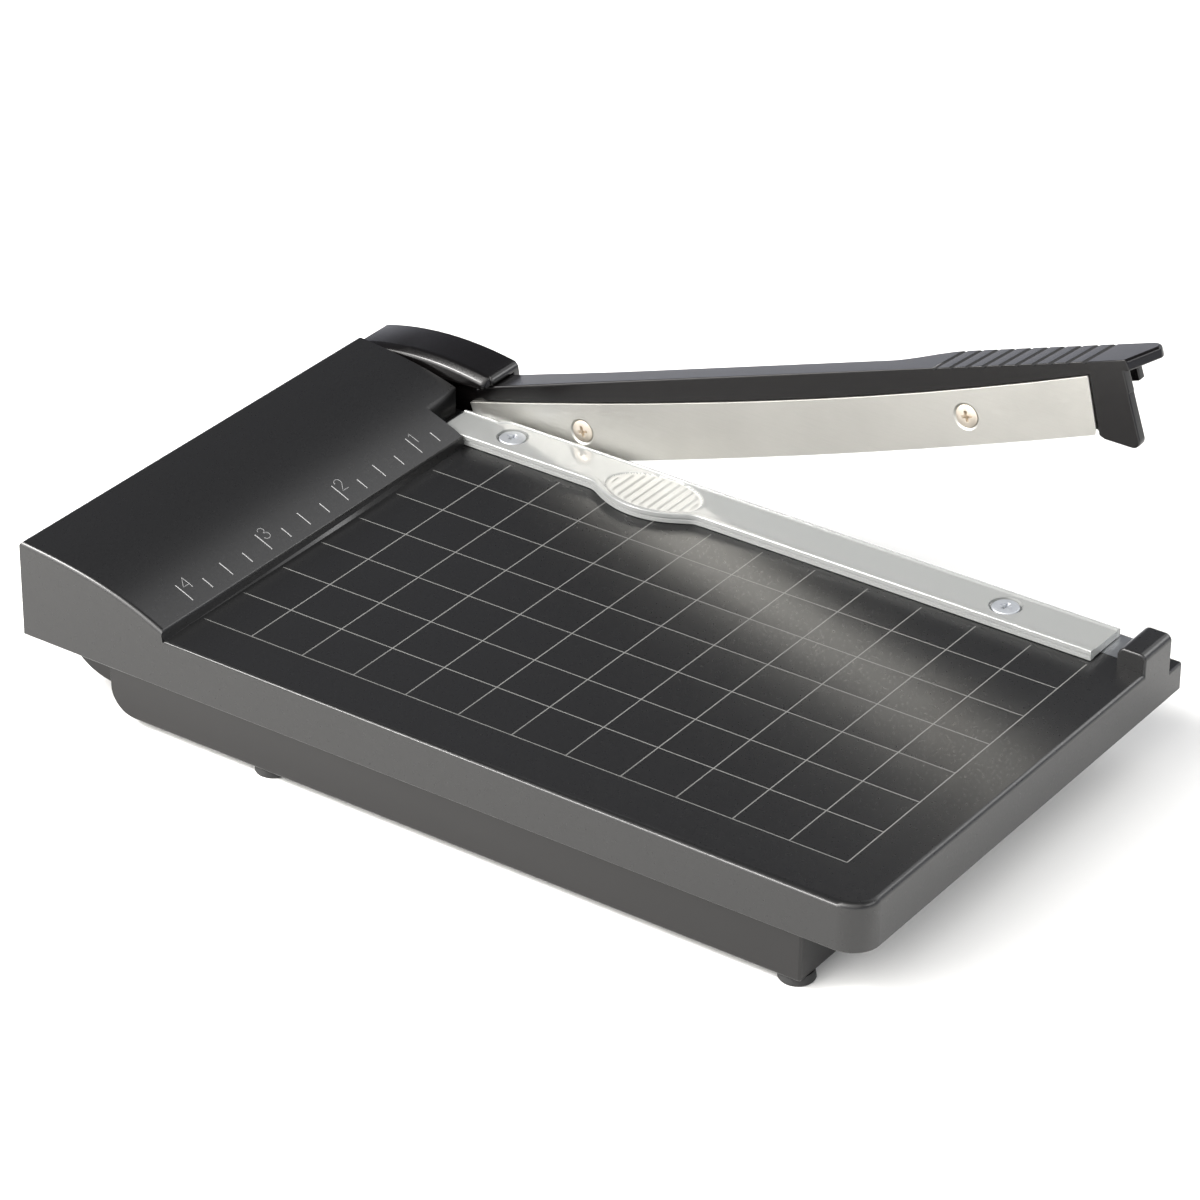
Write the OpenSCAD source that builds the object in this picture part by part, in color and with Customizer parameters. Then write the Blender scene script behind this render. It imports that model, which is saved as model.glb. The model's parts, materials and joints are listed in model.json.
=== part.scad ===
// Small lever paper trimmer: a moulded table with a head, a shearing lever with a steel blade on a
// spring-loaded pivot, and a clear finger guard along the cutting edge.
// Table coordinates: x = 0 is the cutting edge, y = 0 the front face of the head, z = 0 the table top.
// Lever coordinates: the pivot is the origin, -y runs to the grip and the lever's top is level.

/* [Table] */
// Width of the table, from its left edge to the cutting edge
table_w = 113.8; // [100:1:140]
// Length of the paper bed, from the head's front face to the front edge
bed_l = 163.8; // [150:1:200]
// Depth of the head behind the paper bed
head_l = 36.5; // [35:0.5:42]
// Thickness of the table plate
plate_t = 3; // [2.5:0.1:4]
// Height of the skirt under the table top
skirt_h = 10.7; // [10.5:0.1:13]
// Wall thickness of the skirt and the head
skirt_t = 2.2; // [1.8:0.1:2.4]
// Height of the head at its front face
head_front_h = 2.4; // [2:0.1:3]
// Height of the head at its rear
head_h = 10.9; // [9:0.1:13]
// Radius of the front left corner
front_r = 6; // [3:0.5:10]
// Width of the post in front of the cutting edge
post_w = 10.7; // [9:0.1:14]
// Length of the post along the edge
post_l = 6.3; // [5:0.1:9]
// Height of the post over the table
post_h = 4.3; // [3:0.1:6]

/* [Housing and feet] */
// Depth of the lower housing below the skirt
housing_h = 12; // [11:0.5:18]
// Wall thickness of the lower housing
housing_t = 2.2; // [1.8:0.1:2.6]
// Distance of the housing's front from the table's front edge
housing_setback = 14.6; // [10:0.1:20]
// Radius of the housing's lower rear edge
housing_r = 14; // [8:0.5:14]
// Diameter of a rubber foot
foot_d = 7.4; // [6:0.1:7.6]
// Height of a rubber foot
foot_h = 2; // [1:0.1:4]

/* [Cutting edge and guard] */
// Width of the steel bed strip
strip_w = 8.3; // [7:0.1:10]
// Thickness of the steel bed strip
strip_t = 1.5; // [1:0.1:2]
// Width of the clear guard
guard_w = 11.7; // [10:0.1:12]
// Thickness of the clear guard
guard_t = 2; // [1.8:0.1:2.4]
// How far the guard's thumb rest bulges out
thumb_w = 4.6; // [3:0.1:6]
// Length of the bare strip between the guard and the post
guard_gap = 5; // [3:0.5:15]

/* [Lever] */
// Angle that the lever is raised to, over level
lift = 19.05; // [5:0.05:40]
// Distance of the pivot from the head's rear face
pivot_rear = 9.5; // [9.3:0.1:10]
// Depth of the pivot below the table top
pivot_drop = 9; // [8.5:0.1:10]
// Height of the lever's top above the pivot
lever_h = 8; // [7:0.1:9]
// Width of the lever at its waist
lever_w = 6.4; // [6:0.1:8]
// Width of the grip
grip_w = 10; // [9:0.1:14]
// Length of the grip
grip_l = 47; // [42:0.5:60]
// Wall thickness of the lever's channel
lever_t = 2.4; // [2:0.1:2.6]
// Number of finger grooves across the grip
grooves = 10; // [4:1:11]
// Distance between two finger grooves
groove_pitch = 3.94; // [3.5:0.02:4.2]

/* [Blade] */
// Thickness of the blade
blade_t = 1.2; // [0.8:0.1:1.5]
// Depth of the blade's cutting edge below the pivot
blade_drop = 10.05; // [9:0.05:11]
// Radius of the curved cutting edge
blade_r = 1767; // [1200:10:3000]
// Height of the ground bevel
grind_h = 3; // [1.5:0.1:4]

/* [Pivot] */
// Height of the pivot cover above the pivot
cover_h = 20; // [18.5:0.1:21]
// Wall thickness of the pivot cover
cover_t = 2; // [1.6:0.1:2.2]
// Diameter of the pivot bolt
bolt_d = 6; // [5:0.1:6.4]
// Free turns of the pivot spring
spring_turns = 5; // [3:1:6]
// Diameter of the spring's wire
wire_d = 1; // [0.6:0.1:1.1]
// Length of the fitted spring
spring_l = 9; // [8.5:0.5:14]

/* [Screws] */
// Diameter of the machine screws
screw_d = 3; // [2.5:0.1:3]
// Diameter of the screw heads
screw_head_d = 5.8; // [5:0.1:6]
// Width across the flats of the small nuts
nut_af = 5.5; // [5:0.1:5.5]
// Height of the small nuts
nut_h = 2.2; // [1.8:0.1:2.6]

/* [Clearances] */
// Side play of a screw or pin in its hole
hole_gap = 0.1; // [0.05:0.01:0.15]
// Radial play of the turning pivot
run_gap = 0.05; // [0.02:0.01:0.08]
// Gap between the table's skirt and the housing inside it
nest_gap = 0.2; // [0.1:0.05:0.4]
// Gap between the strip's edge and the passing blade
shear_gap = 0.05; // [0.03:0.01:0.1]
// Distance that the strip's edge stands proud of the plastic
edge_proud = 0.3; // [0.1:0.05:0.35]

/* [Hidden] */
$fn = 64;
// A length that reaches past a face that is cut
past = 1;

// Places of the table's faces
pivot_y = head_l - pivot_rear;
side_x = -edge_proud;
floor_z = -skirt_h - housing_h;
ground_z = floor_z - foot_h;
// The head leaves a bay free for the guard's end and a slot for the pivot cover
bay_x = -13.4;
bay_y = 10.2;
slot_x = -2.4;
strip_proud = 0.2;
strip_rear = bay_y - 0.7;
strip_front = -bed_l + post_l;
lug_w = 4.8;
lug_l = 11.8;
lug_drop = 4.7;
post_r = 1.5;
rear_r = 1.5;
crown_rise = 6;
crown_fall = 1;

// Places of the housing
housing_x0 = -table_w + skirt_t + nest_gap;
housing_x1 = side_x - skirt_t - nest_gap;
housing_y0 = -bed_l + housing_setback;
housing_y1 = head_l - nest_gap;
rail_w = 8.4;
rail_end = head_l - 20.2;
rail_r = 6;
tongue_h = 3.5;
foot_inset = 4;
foot_front = 3.2;
foot_rear_y = -22;
stem_d = 3;
boss_d = 6.4;
boss_x = [housing_x0 + 16, housing_x1 - 16];
boss_y = [housing_y0 + 18, head_l - 32.5];
boss_sink = 0.5;
bridge_t = 2;
bridge_h = 4;
tap_d = 2.9;
tap_l = 9;
tap_head_d = 5.4;
tap_head_h = 1.2;
tap_play = 1;
cross_w = 2.6;
cross_slot = 0.7;
cross_depth = 0.8;

// Places of the guard
guard_x1 = -1;
guard_x0 = guard_x1 - guard_w;
guard_z0 = 0.4;
guard_y0 = strip_front + guard_gap;
guard_y1 = 7;
guard_screw_x = -6.8;
guard_screw_y = [-8, guard_y0 + 23];
dimple_d = 7;
dimple_h = 1.1;
wall_foot_z = 0.2;
ridge_w = 1.3;
ridge_h = 0.3;
thumb_y = -45.7;
thumb_half = 12.5;
thumb_reach = 17;
thumb_fillet = 0.6;
guard_notch_y = pivot_y - 30.6;
guard_head_z = guard_z0 + guard_t - dimple_h;

// Places along the lever, forward of the pivot
reach = bed_l + pivot_y;
web_x = 0.35;
screw_tail = 0.5;
taper_l = 32.3;
root_flare = 1;
web_rear = 25.2;
web_foot = 6.5;
lever_rear = 27.7;
finger_end = reach - 3.3;
finger_tip_r = 1.7;
finger_tip = [1.9, 8.8];
finger_lean = [0.6, 1.6];
finger_notch = [0.4, 7.4];
finger_heel = [8.2, 8.4];
wall_end = reach - 5.2;
grip_end = reach + 1.8;
end_slope = 0.4;
grip_start = grip_end - grip_l;
widen_l = 16;
channel_h = 7.3;
wall_t = 2;
root_x1 = 6;
root_r = 8;
root_overlap = 6;
grip_corner_r = 3;
press_gap = 0.02;
sunk = 0.2;
rib_first = 30;
rib_last = 20;
rib_t = 1.6;
rib_step = 24;
groove_r = 0.5;
groove_depth = 0.4;
groove_end = 13.4;
groove_skew = 10.5;

// Places of the blade
blade_x0 = shear_gap;
blade_x1 = blade_x0 + blade_t;
blade_rear = 21.5;
blade_end = reach - 11.5;
blade_low = 80;
back_low = 105;
back_h = 2.35;
back_front_r = 1000;
back_rear_r = 1470;
end_lean = 1.7;
end_gap = 1.6;
sink_h = 1.1;
pocket_gap = 0.3;
blade_screw_rear = 49.9;
blade_screw_front = 42.3;
blade_screw_y = [blade_screw_rear, reach - blade_screw_front];
blade_screw_z = [-3, -2.5];

// Places of the cover
cover_x0 = -1.5;
cover_x1 = grip_w;
cover_rear = 4.6;
cover_nose = 28.6;
cover_nose_h = 10.2;
cover_lobe_r = 9.2;
cover_top_run = 11.5;
cover_top_fall = 0.6;
nose_run = 10.7;
nose_rise = 5.9;
nose_bulge = [0.6, 1.1];
nose_foot = [0.2, 3.2];
nose_slope = [2.6, 1];
nose_in = 1.2;
lip_h = 2.4;
bevel_x = 0.2;
bevel_drop = 1.1;
peg_d = 3;
peg_step = 2;
peg_l = 3;
peg_at = [[-21, 2], [-12, -3]];

// Stack of parts along the pivot bolt
bolt_z = -pivot_drop;
washer_t = 0.6;
washer_r = 7;
washer_x0 = side_x;
flange_x0 = washer_x0 + washer_t;
flange_r = 6.5;
bush_r = 4.5;
bolt_r = bolt_d / 2;
bolt_head_r = 5;
bolt_head_h = 1.6;
bolt_head_x = root_x1 + run_gap;
cheek_x0 = side_x - skirt_t;
cheek_r = 9;
pivot_plate_t = 2;
pivot_plate_r = pivot_drop - plate_t - nest_gap;
pivot_plate_x0 = cheek_x0 - pivot_plate_t;
pivot_plate_run = 17.5;
pivot_plate_y0 = pivot_y - pivot_plate_run;
pivot_plate_gap = 0.4;
pivot_plate_top = -plate_t - nest_gap;
plate_screw_run = [14.4, 8.8];
plate_screw_y = [pivot_y - plate_screw_run[0], pivot_y - plate_screw_run[1]];
plate_screw_z = -7;
plate_screw_d = 2.6;
plate_screw_head_d = 4.4;
plate_screw_head_h = 1.4;
plate_screw_end = 0.4;
spring_x1 = pivot_plate_x0;
spring_x0 = spring_x1 - spring_l;
spring_gap = 0.4;
spring_r = bolt_r + wire_d / 2 + spring_gap;
big_washer_t = 1;
big_washer_r = pivot_plate_r - nest_gap;
big_nut_af = 10;
big_nut_h = 5;
bolt_tail = 1;

// Colours of the parts
plastic = "#2f2f30";
dark_plastic = "#28282a";
steel = "#b9b8b4";
zinc = "#c4c4c4";
clear = [0.86, 0.9, 0.92, 0.45];
rubber = "#1b1b1b";
brass = "#b99a55";

// Middle of the whole trimmer, which is the origin on its ground plane
rear_y = pivot_y + cover_rear * cos(lift) + cover_h * sin(lift);
mid_x = (cover_x1 - table_w) / 2;
mid_y = (rear_y - bed_l) / 2;

module on_table() {
    translate([-mid_x, -mid_y, -ground_z]) children();
}

module on_lever() {
    on_table() translate([0, pivot_y, bolt_z]) rotate([-lift, 0, 0]) children();
}

module on_pivot() {
    on_table() translate([0, pivot_y, bolt_z]) children();
}

// Extrudes an outline drawn in y and z from x0 to x1
module along_x(x0, x1) {
    translate([x0, 0, 0]) rotate([90, 0, 90]) linear_extrude(x1 - x0) children();
}

// A disc or a ring round the x axis
module disc_x(x0, x1, r, bore = 0) {
    along_x(x0, x1) difference() {
        circle(r);
        if (bore > 0) circle(bore);
    }
}

module hex_nut(af, h, bore) {
    linear_extrude(h) difference() {
        circle(d = af / cos(30), $fn = 6);
        circle(bore, $fn = 32);
    }
}

// A rectangle with its own radius at each corner: front left, front right, rear right, rear left
module cornered(x0, y0, x1, y1, r) {
    corners = [[x0, y0, 1, 1], [x1, y0, -1, 1], [x1, y1, -1, -1], [x0, y1, 1, -1]];
    difference() {
        translate([x0, y0]) square([x1 - x0, y1 - y0]);
        for (i = [0:3]) if (r[i] > 0)
            translate([corners[i][0], corners[i][1]]) scale([corners[i][2], corners[i][3]])
                translate([-past, -past]) square(r[i] + past);
    }
    for (i = [0:3]) if (r[i] > 0)
        translate([corners[i][0] + corners[i][2] * r[i], corners[i][1] + corners[i][3] * r[i]])
            circle(r[i]);
}

function bezier(p, t) = pow(1 - t, 3) * p[0] + 3 * pow(1 - t, 2) * t * p[1]
    + 3 * (1 - t) * t * t * p[2] + pow(t, 3) * p[3];
function smooth(t) = t <= 0 ? 0 : t >= 1 ? 1 : t * t * (3 - 2 * t);

// The head's crown, from its front face to its rear
function crown(drop) = [for (i = [0:12]) bezier([[0, head_front_h],
    [head_l / 3, head_front_h + crown_rise], [head_l * 2 / 3, head_h - crown_fall],
    [head_l, head_h]], i / 12) - [0, drop]];

module head_side(drop, y0, y1) {
    intersection() {
        polygon(concat([[0, -skirt_h]], crown(drop), [[head_l, -skirt_h]]));
        translate([y0, -skirt_h - past]) square([y1 - y0, skirt_h + head_h + 2 * past]);
    }
}

module base_outline(inset) {
    cornered(-table_w + inset, -bed_l + inset, side_x - inset, head_l - inset,
        [front_r - inset, 0, 0, inset > 0 ? 0 : rear_r]);
}

module head_solid() {
    along_x(-table_w, bay_x) head_side(0, 0, head_l);
    along_x(bay_x - past, slot_x) head_side(0, bay_y, head_l);
}

// The space under the crown, open from below
module head_hollow() {
    along_x(-table_w + skirt_t, bay_x - skirt_t) head_side(skirt_t, skirt_t, head_l - skirt_t);
    along_x(bay_x - skirt_t - past, slot_x - skirt_t)
        head_side(skirt_t, bay_y + skirt_t, head_l - skirt_t);
}

module post() {
    along_x(side_x - post_w, side_x)
        cornered(-bed_l, -plate_t, -bed_l + post_l, post_h, [0, 0, post_r, post_r]);
}

module lug() {
    translate([side_x - skirt_t, -bed_l, -skirt_h])
        cube([skirt_t + edge_proud + lug_w, lug_l, skirt_h - lug_drop]);
}

// Bosses for the screws that hold the housing
module bosses() {
    for (x = boss_x, y = boss_y) translate([x, y, floor_z + housing_t]) difference() {
        cylinder(h = -floor_z - housing_t - plate_t + (y > 0 ? 0 : boss_sink), d = boss_d);
        translate([0, 0, -past]) cylinder(h = tap_l + past, d = tap_d + 2 * hole_gap);
    }
}

module boss_bridge() {
    for (x = boss_x) translate([x - bridge_t / 2, -past, -plate_t - bridge_h])
        cube([bridge_t, boss_y[1] + boss_d / 2 + past, bridge_h + past]);
}

module table_base() {
    color(plastic) on_table() {
        difference() {
            union() {
                translate([0, 0, -skirt_h]) linear_extrude(skirt_h) base_outline(0);
                head_solid();
                post();
                lug();
                along_x(cheek_x0, side_x) translate([pivot_y, bolt_z]) circle(cheek_r);
            }
            difference() {
                translate([0, 0, -skirt_h - past])
                    linear_extrude(skirt_h - plate_t + past) base_outline(skirt_t);
                along_x(cheek_x0, side_x) translate([pivot_y, bolt_z]) circle(cheek_r);
            }
            head_hollow();
            translate([-strip_w - hole_gap, strip_front - past, strip_proud - strip_t])
                cube([strip_w + past, strip_rear + hole_gap - strip_front + past, strip_t]);
            guard_screw_holes();
            along_x(cheek_x0 - past, side_x + past) translate([pivot_y, bolt_z])
                circle(bolt_r + run_gap);
            for (y = plate_screw_y) along_x(cheek_x0 - past, side_x - plate_screw_end)
                translate([y, plate_screw_z]) circle(d = plate_screw_d + 2 * hole_gap);
        }
        bosses();
        boss_bridge();
    }
}

module guard_screw_holes() {
    for (y = guard_screw_y) translate([guard_screw_x, y, -plate_t - past])
        cylinder(h = plate_t + guard_t + 3 * past, d = screw_d + 2 * hole_gap);
}

// Side outlines of the housing's deep part and of its left rail
module housing_side(inset) {
    intersection() {
        cornered(housing_y0 + inset, floor_z + inset, housing_y1 - inset, -skirt_h,
            [0, housing_r - inset, 0, 0]);
        translate([housing_y0, floor_z]) square([housing_y1 - housing_y0, housing_h]);
    }
}

module rail_side(inset) {
    cornered(housing_y0 + inset, floor_z + inset, rail_end - inset, -skirt_h,
        [0, rail_r - inset, 0, 0]);
}

module lower_housing() {
    t = housing_t;
    top_y1 = head_l - skirt_t - nest_gap;
    rail_x = housing_x0 + rail_w;
    color(dark_plastic) on_table() difference() {
        union() {
            along_x(rail_x, housing_x1) housing_side(0);
            along_x(housing_x0, rail_x + past) rail_side(0);
            translate([0, 0, -skirt_h]) linear_extrude(tongue_h)
                cornered(housing_x0, housing_y0, housing_x1, top_y1, [1, 1, 0, 0]);
            translate([housing_x0, housing_y0, -skirt_h])
                cube([boss_x[1] - housing_x0, t, skirt_h - plate_t - nest_gap]);
        }
        along_x(rail_x + t, housing_x1 - t) housing_side(t);
        along_x(housing_x0 + t, rail_x + t + past) rail_side(t);
        // The tongue is a rim only, and behind the rail it has a floor
        translate([0, 0, -skirt_h - past]) linear_extrude(tongue_h + 2 * past)
            cornered(rail_x + t, housing_y0 + t, housing_x1 - t, top_y1 + past, [0, 0, 0, 0]);
        translate([0, 0, -skirt_h - past]) linear_extrude(tongue_h + 2 * past)
            cornered(housing_x0 + t, housing_y0 + t, rail_x + t + past, rail_end - t, [0, 0, 0, 0]);
        translate([0, 0, -skirt_h + t]) linear_extrude(tongue_h)
            cornered(housing_x0 + t, rail_end - t, rail_x + t + past, top_y1 + past, [0, 0, 0, 0]);
        along_x(housing_x1 - t - past, housing_x1 + past) {
            translate([pivot_y, bolt_z]) circle(pivot_plate_r + nest_gap);
            translate([pivot_plate_y0 - pivot_plate_gap, -skirt_h])
                square([top_y1 - pivot_plate_y0 + past, tongue_h + past]);
        }
        for (x = boss_x, y = boss_y) translate([x, y, floor_z]) {
            translate([0, 0, -past]) cylinder(h = t + 2 * past, d = tap_d + 2 * hole_gap);
            translate([0, 0, -past])
                cylinder(h = tap_head_h + past, d = tap_head_d + 2 * hole_gap);
        }
        foot_places() translate([0, 0, floor_z - past])
            cylinder(h = t + 2 * past, d = stem_d + 2 * run_gap);
    }
}

module housing_screws() {
    color(zinc) on_table() for (x = boss_x, y = boss_y)
        translate([x, y, floor_z]) difference() {
            union() {
                cylinder(h = tap_head_h, d = tap_head_d);
                cylinder(h = housing_t + tap_l - tap_play, d = tap_d);
            }
            cross_recess();
        }
}

// A cross recess that opens downwards
module cross_recess() {
    for (turn = [0, 90]) rotate([0, 0, turn]) translate([-cross_w / 2, -cross_slot / 2, -past])
        cube([cross_w, cross_slot, cross_depth + past]);
}

function foot_xy(i) = [[housing_x0 + foot_inset, housing_y0 + foot_front],
    [housing_x1 - foot_inset, housing_y0 + foot_front],
    [housing_x0 + foot_inset, foot_rear_y], [housing_x1 - foot_inset, foot_rear_y]][i];

module foot_places() {
    for (i = [0:3]) translate(foot_xy(i)) children();
}

module foot(i) {
    color(rubber) on_table() translate(foot_xy(i)) translate([0, 0, ground_z]) {
        cylinder(h = foot_h, d = foot_d);
        cylinder(h = foot_h + housing_t, d = stem_d);
    }
}

module foot_front_left() { foot(0); }
module foot_front_right() { foot(1); }
module foot_rear_left() { foot(2); }
module foot_rear_right() { foot(3); }

module bed_strip() {
    color(steel) on_table() difference() {
        translate([-strip_w, strip_front + hole_gap, strip_proud - strip_t])
            cube([strip_w, strip_rear - strip_front - hole_gap, strip_t]);
        guard_screw_holes();
    }
}

// How far the thumb rest bulges at a place along the guard, with a fillet at its ends
function thumb(y) = let(bulge = thumb_w * (1 - pow((y - thumb_y) / thumb_half, 2)))
    (bulge + sqrt(bulge * bulge + thumb_fillet * thumb_fillet)) / 2;

// The corner beside the pivot cover is cut back to the line of its slot
module guard_outline(inset) {
    steps = 24;
    polygon(concat([[guard_x1, guard_y0], [guard_x1, guard_notch_y],
        [slot_x, guard_notch_y + guard_x1 - slot_x], [slot_x, guard_y1],
        [guard_x0 + inset, guard_y1]],
        [for (i = [0:steps]) let(y = thumb_y + thumb_reach * (1 - 2 * i / steps))
            [guard_x0 + inset - thumb(y), y]],
        [[guard_x0 + inset, guard_y0]]));
}

// The guard has a wall and a raised ridge along its left edge
module clear_guard() {
    color(clear) on_table() difference() {
        union() {
            translate([0, 0, guard_z0]) linear_extrude(guard_t) guard_outline(0);
            translate([0, 0, wall_foot_z]) linear_extrude(guard_t) difference() {
                guard_outline(0);
                translate([ridge_w, 0]) guard_outline(0);
            }
            for (y = guard_screw_y) translate([guard_screw_x, y, strip_proud])
                cylinder(h = guard_z0 - strip_proud + past, d = dimple_d);
        }
        translate([0, 0, guard_z0 + guard_t - ridge_h]) linear_extrude(ridge_h + past) difference() {
            guard_outline(ridge_w);
            translate([guard_x1 - ridge_w, guard_y0 - past])
                square([ridge_w + past, guard_y1 - guard_y0 + 2 * past]);
        }
        guard_screw_holes();
        for (y = guard_screw_y) translate([guard_screw_x, y, guard_z0 + guard_t - dimple_h])
            cylinder(h = dimple_h + past, d = dimple_d);
    }
}

module guard_screws() {
    color(zinc) on_table() for (y = guard_screw_y) translate([guard_screw_x, y, guard_head_z]) {
        difference() {
            cylinder(h = dimple_h, d1 = screw_head_d, d2 = screw_head_d - 1);
            translate([0, 0, dimple_h]) mirror([0, 0, 1]) cross_recess();
        }
        translate([0, 0, -guard_head_z - plate_t - nut_h - screw_tail])
            cylinder(h = guard_head_z + plate_t + nut_h + screw_tail, d = screw_d);
    }
}

module guard_nuts() {
    color(zinc) on_table() for (y = guard_screw_y)
        translate([guard_screw_x, y, -plate_t - nut_h])
            hex_nut(nut_af, nut_h, screw_d / 2 + run_gap);
}

// The lever's right edge at a distance forward of the pivot
function lever_edge(f) = lever_w + root_flare * smooth((lever_rear + taper_l - f) / taper_l)
    + (grip_w - lever_w) * smooth((f - grip_start + widen_l) / widen_l);

module lever_outline(inset) {
    steps = 10;
    left_end = grip_end - end_slope * (grip_w - web_x);
    x0 = inset > 0 ? web_x + lever_t : web_x;
    end_y = inset > 0 ? past : 0;
    polygon(concat([[x0, -lever_rear]],
        [for (i = [0:3]) let(f = lever_rear + taper_l * i / 3) [lever_edge(f) - inset, -f]],
        [for (i = [0:steps]) let(f = grip_start - widen_l + widen_l * i / steps)
            [lever_edge(f) - inset, -f]],
        inset > 0 ? [[grip_w - inset, -grip_end - past]]
            : [for (a = [0:15:90]) [grip_w - grip_corner_r * (1 - cos(a)),
                grip_corner_r * (1 - sin(a)) - grip_end]],
        [[x0, -(inset > 0 ? grip_end : left_end) - end_y]]));
}

// Side outline of the web, with the finger that lands on the stop
module web_side() {
    finger_rear = blade_end - end_gap;
    polygon([[-web_rear, lever_h], [-web_rear, -web_foot], [-finger_rear, -web_foot],
        [-finger_rear - finger_notch[0], -finger_notch[1]],
        [-finger_end + finger_heel[0], -finger_heel[1]],
        [-finger_end + finger_tip[0] + finger_lean[0], -finger_tip[1] - finger_lean[1]],
        [-finger_end + finger_tip[0] - finger_tip_r, -finger_tip[1]], [-finger_end, lever_h]]);
    translate([-finger_end + finger_tip[0], -finger_tip[1]]) circle(finger_tip_r);
}

module blade_side(gap) {
    steps = 12;
    polygon(concat([[-blade_rear + gap, -blade_drop - past]],
        [for (i = [0:2 * steps]) let(f = blade_rear + (blade_end - blade_rear) * i / steps / 2,
            r = f > back_low ? back_front_r : back_rear_r)
            [-f + (i == 0 ? gap : i == 2 * steps ? -gap : 0),
                back_h + pow(f - back_low, 2) / r / 2 + gap]],
        [[-blade_end + end_lean - gap, -blade_drop - past]]));
}

module blade_screw_places() {
    for (i = [0, 1]) translate([0, -blade_screw_y[i], blade_screw_z[i]]) children();
}

module root_side() {
    circle(root_r);
    polygon([[0, root_r], [-lever_rear - root_overlap, lever_h - sunk],
        [-lever_rear - root_overlap, -web_foot], [0, -root_r]]);
}

// The space under the grip's front end, forward of a distance from the pivot
module under_plate(inset, end) {
    translate([web_x + inset - (inset > 0 ? 0 : past), -grip_end - past, lever_h - channel_h - past])
        cube([grip_w + 2 * past, grip_end + past - end, channel_h - lever_t + past]);
}

module arm_lever() {
    color(plastic) on_lever() difference() {
        union() {
            difference() {
                translate([0, 0, lever_h - channel_h]) linear_extrude(channel_h) lever_outline(0);
                translate([0, 0, lever_h - channel_h - past])
                    linear_extrude(channel_h - lever_t + past) lever_outline(wall_t);
                under_plate(0, finger_end);
                under_plate(lever_t, wall_end);
            }
            along_x(web_x, web_x + lever_t) web_side();
            along_x(blade_x1, root_x1) root_side();
            for (f = [lever_rear + rib_first:rib_step:grip_end - rib_last])
                translate([web_x + lever_t - sunk, -f - rib_t / 2, lever_h - channel_h])
                    cube([lever_edge(f) - web_x - lever_t, rib_t, channel_h - sunk]);
        }
        along_x(web_x - past, blade_x1) blade_side(pocket_gap);
        disc_x(web_x - past, grip_w, bush_r + press_gap);
        blade_screw_places() disc_x(0, web_x + lever_t + past, screw_d / 2 + hole_gap);
        for (p = peg_at) along_x(0, root_x1 + past) translate(p) circle(d = peg_d + 2 * hole_gap);
        for (i = [0:grooves - 1]) finger_groove(i);
    }
}

module finger_groove(i) {
    translate([web_x, -grip_end + groove_end + (grooves - 1 - i) * groove_pitch,
        lever_h + groove_r - groove_depth]) rotate([0, 0, -groove_skew]) rotate([0, 90, 0])
        translate([0, 0, -3 * past]) cylinder(h = grip_w + 6 * past, r = groove_r, $fn = 32);
}

module blade() {
    grind = blade_r - grind_h;
    color(steel) on_lever() difference() {
        intersection() {
            along_x(blade_x0, blade_x1) blade_side(0);
            translate([blade_x0, -blade_low, blade_r - blade_drop]) rotate([0, 90, 0])
                cylinder(h = blade_t, r1 = blade_r, r2 = grind, $fn = 720);
        }
        blade_screw_places() translate([blade_x0, 0, 0]) rotate([0, 90, 0]) {
            translate([0, 0, -past]) cylinder(h = blade_t + 2 * past, r = screw_d / 2 + hole_gap);
            translate([0, 0, -0.001]) cylinder(h = sink_h, r1 = screw_head_d / 2 + run_gap,
                r2 = screw_d / 2 + hole_gap);
        }
    }
}

module blade_screws() {
    head_x = blade_x0 + run_gap;
    color(zinc) on_lever() blade_screw_places() translate([head_x, 0, 0])
        rotate([0, 90, 0]) difference() {
            union() {
                cylinder(h = sink_h - run_gap, r1 = screw_head_d / 2 - run_gap, r2 = screw_d / 2);
                cylinder(h = web_x + lever_t + nut_h + screw_tail - head_x, d = screw_d);
            }
            cross_recess();
        }
}

module blade_nuts() {
    color(zinc) on_lever() blade_screw_places() translate([web_x + lever_t, 0, 0])
        rotate([0, 90, 0]) hex_nut(nut_af, nut_h, screw_d / 2 + run_gap);
}

function cover_top(drop) = [for (i = [0:12]) bezier([[cover_rear, cover_h],
    [cover_rear - cover_top_run, cover_h - cover_top_fall],
    [-cover_nose + nose_run, cover_nose_h + nose_rise],
    [-cover_nose, cover_nose_h]], i / 12) - [0, drop]];

module cover_side() {
    circle(cover_lobe_r);
    polygon(concat([[cover_lobe_r, 0]], cover_top(0),
        [[-cover_nose - nose_bulge[0], cover_nose_h - nose_bulge[1]],
        [-cover_nose - nose_foot[0], cover_nose_h - nose_foot[1]],
        [-cover_nose + nose_slope[0], -nose_slope[1]], [0, -cover_lobe_r]]));
}

module pivot_cover() {
    color(plastic) on_lever() {
        difference() {
            union() {
                along_x(bevel_x, cover_x1) cover_side();
                cover_left();
            }
            along_x(bevel_x - past, cover_x1 - cover_t) cover_inside();
            along_x(bevel_x - past, lever_edge(lever_rear) + pocket_gap)
                translate([-cover_nose - cover_lobe_r, -2 * cover_lobe_r])
                    square([cover_nose + 3 * cover_lobe_r, lever_h + 2 * cover_lobe_r]);
        }
        for (p = peg_at) {
            along_x(root_x1, cover_x1 - cover_t + sunk) translate(p) circle(d = peg_d + peg_step);
            along_x(root_x1 - peg_l, root_x1 + sunk) translate(p) circle(d = peg_d);
        }
    }
}

module cover_inside() {
    inner_rear = cover_rear - cover_t / 2;
    inner_nose = -cover_nose + cover_t;
    polygon(concat([[cover_lobe_r, -2 * cover_lobe_r], [cover_lobe_r - cover_t / 2, 0]],
        [for (p = cover_top(cover_t)) [max(inner_nose, min(inner_rear, p[0])), p[1]]],
        [[inner_nose, -2 * cover_lobe_r]]));
}

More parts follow.
